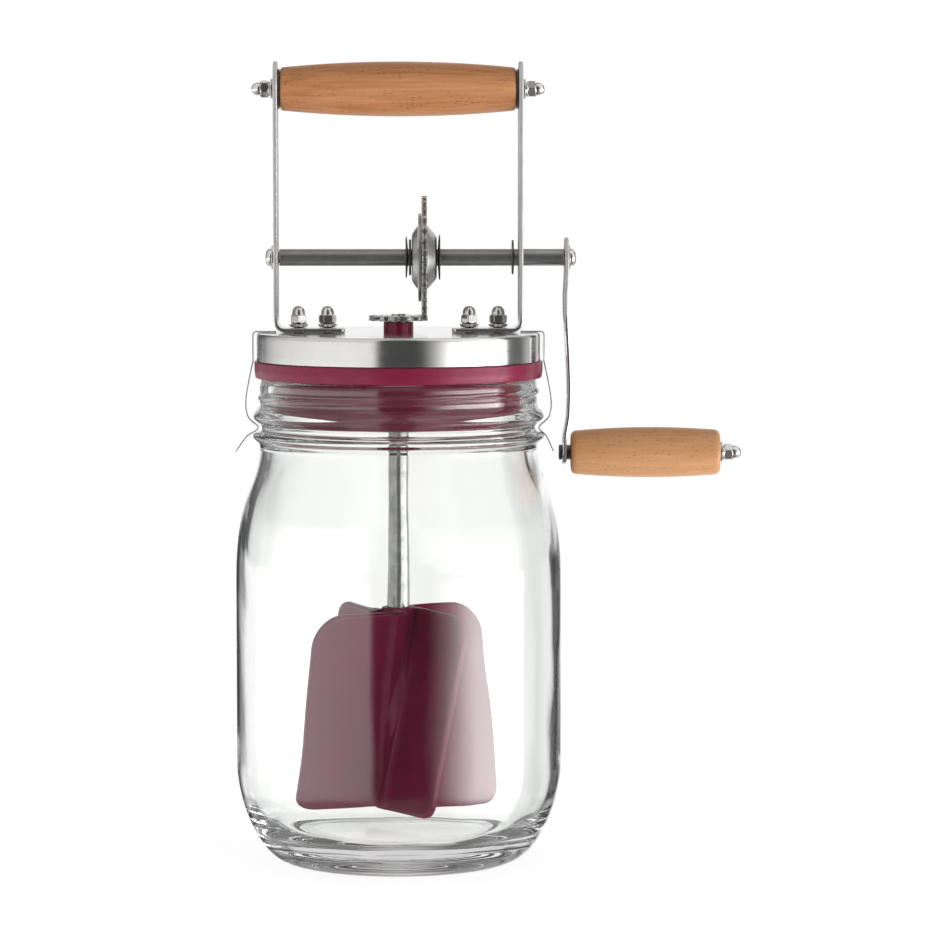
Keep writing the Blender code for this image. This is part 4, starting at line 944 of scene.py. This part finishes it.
def barrel(length, bore, ends, middle, rounding):
    """A turned wooden grip: a swollen barrel with rounded ends and a bore."""
    start, end = ends
    outline = [(bore, 0.0, 0.3)]
    outline += arc((start - rounding, rounding), (rounding, rounding), -90, -10, 6)
    for step in range(1, 40):
        share = step / 40
        straight = start + (end - start) * share
        swell = (middle - (start + end) / 2) * (1 - (2 * share - 1) ** 2)
        outline.append((straight + swell, rounding + (length - 2 * rounding) * share))
    outline += arc((end - rounding, length - rounding), (rounding, rounding), 10, 90, 6)
    return eased(outline + [(bore, length, 0.3)])


def build_handle():
    """The beech grip between its discs."""
    half = 41.4
    outline = barrel(2 * half, SCREW_HOLE, (7.65, 7.65), 9.6, 1.3)
    turned("beech_handle_grip", outline, 96, along_x(-half, HANDLE_Z), HANDLE_BEECH, "lid",
           "handle_grip")
    for side, word in ((-1, "left"), (1, "right")):
        turned(f"handle_end_disc_{word}", ring(SCREW_HOLE, 7.0, 0.65, 0.18), 72,
               along_x(side * (half + 0.15), HANDLE_Z, side), CLIP_STEEL, "lid",
               f"handle_disc_{word}")


# Nuts and washers

def acorn_nut():
    """A hexagon with a chamfered foot and shoulders under a bullet-shaped dome."""
    flat, corner, height, foot, shoulder = 2.75, 3.12, 3.4, 2.35, 2.6
    dome, dome_radius, fullness, thread, depth = 3.2, 2.38, 2.3, 1.6, 4.4
    outline = [(0, depth), (thread, depth), (thread, 0.0), (foot, 0.0)]
    outline += [(foot + (corner - foot) * step / 6, 0.95 * step / 6) for step in range(1, 7)]
    outline += [(corner, 1.1), (corner, height - 0.45)]
    for step in range(6):
        outline.append((corner - (corner - shoulder) * step / 5, height - 0.35 + 0.35 * step / 5))
    outline.append((dome_radius + 0.06, height + 0.02))
    for step in range(13):
        angle = math.pi / 2 * step / 12
        radius = dome_radius * math.cos(angle) ** (2 / fullness)
        outline.append((radius, height + 0.1 + (dome - 0.1) * math.sin(angle) ** (2 / fullness)))
    outline[-1] = (0, height + dome)
    shape = lathe(outline, 96)
    for point in shape.verts:
        radius = math.hypot(point.co.x, point.co.y)
        if radius < flat:
            continue
        turn = math.atan2(point.co.y, point.co.x) % (math.pi / 3) - math.pi / 6
        shrink = min(radius, flat / math.cos(turn)) / radius
        point.co.x *= shrink
        point.co.y *= shrink
    return shape


def cup_washer():
    """A thin washer pressed into a shallow cup round the nut's foot."""
    outline = [(SCREW_HOLE, 0.0, 0.1), (2.9, 0.0, 0.3), (3.6, 0.95, 0.12), (3.45, 1.1, 0.12)]
    return lathe(eased(outline + [(2.75, 0.42, 0.2), (SCREW_HOLE, 0.38, 0.1)]), 72)


def set_fasteners(name, tree, model, seats, body, solids):
    """One mesh of all the fasteners of a kind on a body, from seats of (place, way, angle)."""
    points = bpy.data.meshes.new("seats")
    points.from_pydata([seat[0] for seat in seats], [], [])
    points.attributes.new("outward", "FLOAT_VECTOR", "POINT")
    points.attributes.new("turn", "FLOAT", "POINT")
    for index, (_, way, angle) in enumerate(seats):
        points.attributes["outward"].data[index].vector = way
        points.attributes["turn"].data[index].value = math.radians(angle)
    mesh = grown(name, points, tree, {"Fastener": model, "Material": NICKEL})
    mesh.transform(TO_FRAME)
    settle(name, mesh, NICKEL, body, *solids)


def build_fasteners():
    """Acorn nuts on cup washers along the feet, and on flat washers at the rod and the knob."""
    tree = fastener_tree()
    nut, cup, flat = [
        placed(word, smoothed(meshed(word, shape), IN_MILLIMETRES)) for word, shape in (
            ("nut", acorn_nut()), ("cup", cup_washer()),
            ("flat", lathe(ring(SCREW_HOLE, 3.6, 0.8, 0.18), 72)),
        )
    ]
    up, left, right = (0, 0, 1), (-1, 0, 0), (1, 0, 0)
    feet = ((-35.2, 30), (-25.0, 8), (25.0, 22), (35.2, 2))
    ends = ((-1, left, 12), (1, right, 25))
    numbers, sides = (1, 2, 3, 4), ("left", "right")
    nuts = [((x, 0, 189.65), up, angle) for x, angle in feet]
    nuts += [((44.95 * side, 0, HANDLE_Z), way, angle) for side, way, angle in ends]
    cups = [((x, 0, 188.7), up, 0) for x, _ in feet]
    flats = [((44.0 * side, 0, HANDLE_Z), way, 0) for side, way, _ in ends]
    foot_nuts = [f"foot_nut_{number}" for number in numbers]
    for name, model, seats, body, solids in (
        ("lid_acorn_nuts", nut, nuts, "lid", foot_nuts + [f"handle_nut_{side}" for side in sides]),
        ("foot_cup_washers", cup, cups, "lid", [f"foot_washer_{number}" for number in numbers]),
        ("handle_flat_washers", flat, flats, "lid", [f"handle_washer_{side}" for side in sides]),
        ("knob_acorn_nut", nut, [((114.9, 0, KNOB_Z), right, 18)], "crank", ["knob_nut"]),
        ("knob_flat_washer", flat, [((113.95, 0, KNOB_Z), right, 0)], "crank", ["knob_washer"]),
    ):
        set_fasteners(name, tree, model, seats, body, solids)
    for model in (nut, cup, flat):
        bpy.data.objects.remove(model)


# Crank and gears

def snap_ring(inner, outer, thick, dish, opening):
    """A thin open retaining ring, pressed slightly out of flat."""
    gap = math.degrees(math.asin(opening / 2 / outer))
    inner_gap = math.degrees(math.asin(min(0.95, opening / 2 / inner)))
    outline = arc((0, 0), (outer, outer), gap, 360 - gap, 56)
    outline += arc((0, 0), (inner, inner), 360 - inner_gap, inner_gap, 40)
    shape = plate([outline], thick, 0.12)
    for point in shape.verts:
        away = math.hypot(point.co.x, point.co.y) / outer
        point.co.z += dish * away**2
    return shape


def clip_on(name, shape, place, body, solid):
    """Settles a retaining ring on its rod."""
    settle(name, smoothed(meshed(name, shape), place), CLIP_STEEL, body, solid)


def build_axle():
    """The rod that carries the gear, its caps and its clip."""
    left, right, left_step, right_step = -46.0, 61.97, -41.95, ARM_X - ARM_THICK / 2 - 0.15
    outline = [(0, left), (AXLE_JOURNAL, left, 0.3), (AXLE_JOURNAL, left_step, 0.1)]
    outline += [(AXLE_RADIUS, left_step, 0.35), (AXLE_RADIUS, right_step, 0.35)]
    outline += [(AXLE_JOURNAL, right_step, 0.1), (AXLE_JOURNAL, right, 0.3), (0, right)]
    turned("ground_axle_rod", eased(outline), 72, along_x(0, AXLE_Z), AXLE_STEEL, "crank", "axle")

    foot, height, inside = 0.5, 2.1, 1.9
    dome = [(JOURNAL_HOLE, 0.0, 0.1), (4.3, 0.0, 0.18), (4.3, 0.42, 0.18), (3.35, foot, 0.2)]
    for step in range(12):
        angle = math.pi / 2 * step / 12
        dome.append((3.2 * math.cos(angle) ** 0.8, foot + height * math.sin(angle) ** 0.8))
    dome += [(0, foot + height), (0, inside), (JOURNAL_HOLE, inside, 0.1)]
    for name, place, solid in (
        ("axle_dome_cap", along_x(-44.25, AXLE_Z, -1), "axle_cap"),
        ("arm_dome_cap", along_x(60.15, AXLE_Z), "arm_cap"),
    ):
        turned(name, eased(dome), 72, place, NICKEL, "crank", solid)
    clip_on("axle_snap_ring", snap_ring(AXLE_BORE, 6.2, 0.6, 0.0, 3.6), along_x(40.3, AXLE_Z),
            "crank", "axle_clip")


def build_gears():
    """Both toothed plates, and the disc, dishes, washer and clips on the axle beside them."""
    tree = toothed_plate_tree()
    for name, teeth, tip, depth, bore, turn, place, body, solid in (
        ("toothed_drive_gear", 30, 21.61, 2.0, AXLE_BORE, 0.0, along_x(8.2, AXLE_Z), "crank",
         "drive_gear"),
        ("toothed_pinion", 13, 10.495, 2.7, PINION_BORE, math.pi / 13, at_height(PINION_Z),
         "dasher", "pinion"),
    ):
        mesh = grown(name, bpy.data.meshes.new("seed"), tree, {
            "Root share": 0.48, "Tip share": 0.30, "Thickness": 1.8, "Material": GEAR_STEEL,
            "Teeth": teeth, "Tip radius": tip, "Tooth depth": depth, "Bore": bore,
            "Start turn": turn,
        }, 0.16)
        settle(name, smoothed(mesh, place), GEAR_STEEL, body, solid)

    left_dish = [(AXLE_BORE, 0, 0.1), (8.2, 0, 0.8), (11.3, 2.1, 0.3), (AXLE_BORE, 2.1, 0.1)]
    right_dish = [(AXLE_BORE, 0, 0.1), (11.3, 0, 0.3), (7.5, 3.3, 0.9), (AXLE_BORE, 3.3, 0.1)]
    for name, outline, x, finish, solid in (
        ("gear_thin_disc", ring(AXLE_BORE, 15.6, 1.0, 0.25), 7.0, HUB_STEEL, "gear_backing_disc"),
        ("gear_dish_left", eased(left_dish), 4.7, HUB_STEEL, "gear_hub_left"),
        ("gear_dish_right", eased(right_dish), 10.2, HUB_STEEL, "gear_hub_right"),
        ("gear_dark_washer", ring(AXLE_BORE, 6.4, 0.8, 0.2), 3.7, CLIP_STEEL, "hub_washer"),
    ):
        turned(name, outline, 96, along_x(x, AXLE_Z), finish, "crank", solid)
    for name, outer, x, dish, solid in (
        ("gear_snap_ring_left", 7.3, 3.2, -0.45, "hub_clip_left"),
        ("gear_snap_ring_right", 8.0, 14.0, 0.5, "hub_clip_right"),
    ):
        shape = snap_ring(AXLE_BORE, outer, 0.5, dish, 3.4)
        clip_on(name, shape, along_x(x, AXLE_Z), "crank", solid)


def arm_bend(share):
    """How far the arm stands out of its plane, at a share of the way down to the knob."""
    before, bend = 0.0, 0.0
    for after, following in ((0.07, 0.0), (0.21, -0.4), (0.69, 0.9), (0.78, 0.75), (0.94, -0.6)):
        if share < after:
            part = (share - before) / (after - before)
            return bend + (following - bend) * (3 * part**2 - 2 * part**3)
        before, bend = after, following
    return bend


def build_crank():
    """The arm, its bolt and spacer, and the beech knob."""
    wide, narrow, reach = 7.0, 4.3, AXLE_Z - KNOB_Z
    outline = arc((wide, 0), (wide, wide), 90, 270, 32)
    outline += arc((wide + reach, 0), (narrow, narrow), -90, 90, 24)
    loops = [outline, hole(wide, JOURNAL_HOLE), hole(wide + reach, JOURNAL_HOLE)]
    path = []
    for step in range(73):
        drop = (wide + reach + narrow) * step / 72
        share = min(max((drop - wide) / reach, 0), 1)
        path.append((ARM_X + arm_bend(share), AXLE_Z + wide - drop))
    shape = bent(plate(loops, ARM_THICK, 0.42), path)
    settle("flat_crank_arm", smoothed(meshed("arm", shape)), BAR_STEEL, "crank", "crank_arm")

    head, shank, step_at, end = 1.1, 1.9, 56.1, 61.6
    start = ARM_X + arm_bend(1.0) - ARM_THICK / 2 - 0.15 - head
    bolt = [(0, 0), (2.7, 0, 0.4), (2.7, head, 0.15), (shank, head, 0.05), (shank, step_at, 0.2)]
    bolt += [(1.5, step_at, 0.05), (1.5, end, 0.3), (0, end)]
    for name, outline, steps, x, finish, body, solid in (
        ("knob_long_bolt", eased(bolt), 48, start, CLIP_STEEL, "crank", "knob_bolt"),
        ("knob_dark_spacer", ring(2.1, 2.6, 1.3, 0.1), 48, 59.55, CLIP_STEEL, "crank",
         "knob_spacer"),
        ("beech_crank_knob", barrel(52.8, 2.0, (7.75, 8.0), 8.9, 2.0), 96, 61.0, KNOB_BEECH,
         "knob", "crank_knob"),
    ):
        turned(name, outline, steps, along_x(x, KNOB_Z), finish, body, solid)


# Dasher

def build_dasher():
    """The polished shaft, its ring, and the paddle."""
    foot, pin, end = 30.65, 2.5, 193.39
    shaft = [(0, foot), (SHAFT_RADIUS, foot, 0.3), (SHAFT_RADIUS, SHAFT_TOP, 0.2)]
    shaft += [(pin, SHAFT_TOP, 0.05), (pin, end, 0.25), (0, end)]
    turned("polished_dasher_shaft", eased(shaft), 72, at_height(0), SHAFT_STEEL, "dasher",
           "dasher_shaft")
    clip_on("shaft_snap_ring", snap_ring(SHAFT_BORE, 6.0, 1.0, 0.0, 3.4), at_height(153.95),
            "dasher", "shaft_circlip")

    low, high, reach = -PADDLE_HALF_HEIGHT, PADDLE_HALF_HEIGHT, 37.0
    small, large, root, fillet = 6.0, 12.0, 5.2, 3.2
    outline = [(1.0, low)] + arc((reach - small, low + small), (small, small), -90, 0, 14)
    outline += arc((reach - large, high - large), (large, large), 0, 90, 20) + [(1.0, high)]
    blade = plate([outline], 2.5, 0.8)
    for x in (4.6, 5.2, 5.8, 6.4, 7.0, 7.8, 8.8, 10.0):
        cut_across(blade, x)
    for point in blade.verts:
        near = max(0.0, 1 - max(0.0, point.co.x - root) / fillet) ** 2
        point.co = (point.co.x, -point.co.z * (1 + 1.1 * near), point.co.y)
    model = placed("blade", meshed("blade", blade))
    tube, sleeve, floor = 5.75, 3.95, low + 12.5
    hub = [(0, low), (tube, low, 0.9), (tube, high, 0.7), (sleeve, high, 0.3)]
    hub += [(sleeve, floor, 0.2), (0, floor)]
    hub_mesh = smoothed(meshed("hub", lathe(eased(hub), 64)), IN_MILLIMETRES)
    mesh = grown("paddle", hub_mesh, blades_tree(), {
        "Blade": model, "Blades": 4, "Pitch": math.radians(12), "Start turn": math.radians(-62),
        "Material": PADDLE_PLASTIC,
    })
    bpy.data.objects.remove(model)
    mesh = smoothed(mesh, at_height(PADDLE_Z))
    settle("moulded_paddle", mesh, PADDLE_PLASTIC, "dasher", "paddle")


def dress_hidden_solids():
    """The rod and the screws stay as solids, with the finish of their metal."""
    for name in ("handle_rod", "foot_bolt_1", "foot_bolt_2", "foot_bolt_3", "foot_bolt_4"):
        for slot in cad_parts[name].material_slots:
            slot.material = CLIP_STEEL


# Studio

# The brightest lamp that a ramp can hold
TOP_LEVEL = 10.0
# Light and dark panels round the churn: the softness of their edges, then from, to, and the level
# at each end. Angles are in degrees, from behind the churn (-180) by its left (-90), the camera (0)
# and its right (90) to behind it again.
STUDIO_PANELS = {
    # Seen in the metal and plastic, above and below the level of the camera
    "high": (0.8, (
        (-180, -163, 1.0), (-162, -138, 0.08, 0.16), (-130, -110, 0.5, 0.68),
        (-100, -60, 0.76, 0.82), (-50, -19, 0.86, 0.9), (-15, 14, 0.09, 0.08),
        (15, 21, 0.1, 0.16), (29, 33, 0.5, 0.62), (40, 60, 0.95, 1.2), (70, 95, 1.3, 1.4),
        (98, 118, 0.14, 0.18), (124, 140, 0.4, 0.8), (150, 180, 1.0),
    )),
    "low": (0.8, (
        (-180, -176, 1.0), (-171, -157, 0.05), (-149, -126, 0.95, 1.0),
        (-120, -60, 1.45, 1.75), (-50, -20, 1.65, 1.5), (-17, 20, 0.08), (24, 33, 0.4, 1.1),
        (40, 48, 2.6, 4.4), (56, 95, 6.6, 7.2), (99, 120, 0.2), (125, 136, 0.8),
        (140, 160, 0.05), (168, 180, 1.0),
    )),
    # Seen through one wall of the glass, and through both
    "in glass": (1.0, (
        (-180, -173, 1.08), (-168, -158, 0.9), (-154, -132, 0.8), (-126, -100, 0.06),
        (-94, -20, 0.9), (-18, 20, 0.4), (24, 94, 0.9), (100, 126, 0.05), (132, 154, 0.8),
        (158, 168, 0.88), (173, 180, 1.06),
    )),
    "through": (1.0, ((-180, -173, 1.08), (-168, 168, 0.88), (173, 180, 1.06))),
    # The light that falls on dull surfaces
    "lighting": (2.0, ((-180, -20, 0.95), (-16, 22, 0.5), (26, 100, 1.9, 3.1), (104, 180, 0.9))),
    # Seen in the metal and plastic, from overhead and from the table
    "overhead": (2.0, (
        (-180, -150, 0.35), (-135, -20, 0.9), (-12, 18, 0.4), (26, 130, 1.1), (145, 180, 0.35),
    )),
    "table": (2.0, (
        (-180, -150, 1.0), (-135, -50, 0.7), (-18, 22, 0.22), (50, 135, 0.7), (150, 180, 1.0),
    )),
    # Seen in the walls' inner reflections, upwards and low in the heel
    "aloft": (2.0, (
        (-180, -170, 0.45), (-162, -50, 0.15), (-42, -15, 0.95), (-12, 12, 0.2),
        (15, 42, 1.0), (50, 162, 0.12), (170, 180, 0.45),
    )),
    "heel": (2.0, (
        (-180, -160, 0.7), (-150, -128, 0.2), (-118, -30, 0.02), (-15, 15, 0.55),
        (30, 120, 0.01), (130, 150, 0.1), (160, 180, 0.7),
    )),
    # The light that falls on what stands in the jar
    "lighting inside": (2.0, (
        (-180, -20, 0.8), (-16, 22, 0.25), (26, 100, 1.8, 3.0), (104, 180, 1.0),
    )),
    # Seen steeply down through both walls
    "below": (2.0, (
        (-180, -160, 0.75), (-148, -62, 0.04), (-46, 46, 0.8), (62, 148, 0.03), (160, 180, 0.75),
    )),
}


def ramp(tree, factor, stops, top):
    """A ramp from stops of (position, level), held as shares of its top level."""
    made = node(tree, "ShaderNodeValToRGB", {0: factor})
    elements = made.color_ramp.elements
    elements.remove(elements[1])
    for index, (position, level) in enumerate(stops):
        element = elements[0] if index == 0 else elements.new(position)
        element.position = position
        element.color = (level / top, level / top, level / top, 1)
    return made


def build_studio():
    """A white room with lamps at both sides, a strip of dark at the camera and dark flags behind.

    Rays inside the glass meet levels of their own, so that its edges stand out.
    """
    world = bpy.data.worlds.new("studio")
    bpy.context.scene.world = world
    world.use_nodes = True
    tree = world.node_tree
    tree.nodes.clear()
    direction = node(tree, "ShaderNodeTexCoord").outputs["Generated"]
    split = node(tree, "ShaderNodeSeparateXYZ", {0: direction}).outputs
    azimuth = sums(tree, "ARCTAN2", split[0], sums(tree, "MULTIPLY", split[1], -1.0))
    round_share = sums(tree, "MULTIPLY_ADD", azimuth, 1 / math.tau, 0.5)
    height = sums(tree, "MULTIPLY_ADD", sums(tree, "ARCSINE", split[2]), 1 / math.pi, 0.5)
    panels = {}
    for name, (softness, bands) in STUDIO_PANELS.items():
        stops = []
        for start, end, *levels in bands:
            stops.append(((start + softness) / 360 + 0.5, levels[0]))
            stops.append(((end - softness) / 360 + 0.5, levels[-1]))
        panels[name] = ramp(tree, round_share, sorted(stops), TOP_LEVEL)
    light_path = node(tree, "ShaderNodeLightPath").outputs

    def mixed(factor, first, second):
        return node(tree, "ShaderNodeMix", {0: factor, 6: first, 7: second}, data_type="RGBA")

    def stacked(low, high, below, above):
        """One level below and another above, with a soft edge from one elevation to another."""
        stops = ((0.5 + low / 180, 0.0), (0.5 + high / 180, 1.0))
        return mixed(ramp(tree, height, stops, 1.0), below, above)

    def plain(level):
        return (level / TOP_LEVEL, level / TOP_LEVEL, level / TOP_LEVEL, 1)

    # A ray that looks through the jar passes two surfaces at each wall.
    passes = light_path["Transmission Depth"]
    inside = sums(tree, "GREATER_THAN", passes, 0.5)
    deep = sums(tree, "GREATER_THAN", passes, 3.5)
    glossy = sums(tree, "GREATER_THAN", light_path["Glossy Depth"], 0.5)
    diffuse = sums(tree, "GREATER_THAN", light_path["Diffuse Depth"], 0.5)
    reflected = stacked(-3.8, -3.1, panels["low"], panels["high"])
    reflected = stacked(28, 58, reflected, panels["overhead"])
    reflected = stacked(-45, -14, panels["table"], reflected)
    piped = mixed(deep, reflected, panels["lighting inside"])
    piped = stacked(1, 7, piped, panels["aloft"])
    piped = stacked(-17, -11.8, panels["heel"], piped)
    reflected = mixed(inside, reflected, piped)
    reflected = stacked(-74, -60, plain(0.15), reflected)
    refracted = mixed(deep, panels["in glass"], panels["through"])
    refracted = stacked(18, 40, refracted, plain(1.0))
    refracted = stacked(-38, -29, mixed(deep, panels["below"], plain(0.9)), refracted)
    refracted = stacked(-54, -46, mixed(deep, plain(0.25), plain(0.9)), refracted)
    refracted = stacked(-82, -76, plain(0.95), refracted)
    lit = mixed(inside, panels["lighting"], panels["lighting inside"])
    lit = stacked(0, 45, lit, plain(0.25))
    lit = stacked(-45, -14, plain(1.35), lit)
    level = mixed(diffuse, mixed(glossy, refracted, reflected), lit)
    level = mixed(light_path["Is Camera Ray"], level, plain(1.02))
    shine = node(tree, "ShaderNodeBackground", {0: level, 1: TOP_LEVEL})
    node(tree, "ShaderNodeOutputWorld", {0: shine})
    bpy.context.scene.view_settings.view_transform = "Standard"
    paths = bpy.context.scene.cycles
    paths.max_bounces, paths.glossy_bounces, paths.transmission_bounces = 24, 16, 24


def build_floor():
    """A pale round table top that fades out before its edge."""
    radius, gap, fade_from, fade_to = 0.55, 0.05 * MM, 0.12, 0.5
    shape = bmesh.new()
    bmesh.ops.create_circle(shape, cap_ends=True, segments=96, radius=radius)
    mesh = bpy.data.meshes.new("floor")
    shape.to_mesh(mesh)
    shape.free()
    mesh.transform(Matrix.Translation((AXIS_X, 0, -gap)))
    floor = placed("floor", mesh)
    # Matt white paper: even and as bright as the room, with a trace of fibre drawn coarse.
    paper = bpy.data.materials.new("white paper sweep")
    paper.use_nodes = True
    tree = paper.node_tree
    tree.nodes.clear()
    place = node(tree, "ShaderNodeTexCoord").outputs["Object"]
    centred = node(tree, "ShaderNodeMapping", {0: place, 1: (-AXIS_X, 0, 0)})
    away = node(tree, "ShaderNodeVectorMath", {0: centred}, operation="LENGTH")
    fibres = node(tree, "ShaderNodeTexNoise", {"Vector": place, "Scale": spacing(0.8)})
    sheet = node(tree, "ShaderNodeBsdfDiffuse", {0: spread(tree, fibres, 0.24, 0.27)})
    bounced = node(tree, "ShaderNodeLightPath").outputs["Diffuse Depth"]
    glow = node(tree, "ShaderNodeEmission", {
        "Strength": spread(tree, bounced, 0.89, 1.25, 0.0, 1.0),
    })
    lit = node(tree, "ShaderNodeAddShader", {0: sheet, 1: glow})
    fade = node(tree, "ShaderNodeMapRange", {
        0: away, 1: fade_from, 2: fade_to,
    }, interpolation_type="SMOOTHSTEP")
    clear = node(tree, "ShaderNodeBsdfTransparent")
    edge = node(tree, "ShaderNodeMixShader", {0: fade, 1: lit, 2: clear})
    node(tree, "ShaderNodeOutputMaterial", {0: edge})
    mesh.materials.append(paper)
    floor.visible_glossy = floor.visible_transmission = False


def build_camera():
    """Level with the axle's frame, and turned and tilted until the churn stands as photographed."""
    side, focal, axis_column, level_row = 940, 3680, 398.5, 164
    across, down = side / 2 - axis_column, side / 2 - 0.5 - level_row
    lens = bpy.data.cameras.new("camera")
    lens.sensor_width = 36.0
    lens.lens = lens.sensor_width * focal / side
    lens.clip_start = 0.05
    camera = placed("camera", lens)
    camera.location = (AXIS_X, -1.300, 0.2459)
    turn, tilt = math.atan(across / focal), math.atan(down / focal)
    camera.rotation_euler = (math.pi / 2 - tilt, 0, -turn)
    bpy.context.scene.camera = camera


build_camera()
build_studio()
build_floor()
build_jar()
build_lid()
build_clip("spring_strip_clip_left", -1, 6.2, "spring_clip_left")
build_clip("spring_strip_clip_right", 1, 3.3, "spring_clip_right")
build_bracket("flat_bar_left", -1, JOURNAL_HOLE, "bracket_left")
build_bracket("flat_bar_right", 1, AXLE_BORE, "bracket_right")
build_handle()
build_fasteners()
build_axle()
build_gears()
build_crank()
build_dasher()
dress_hidden_solids()
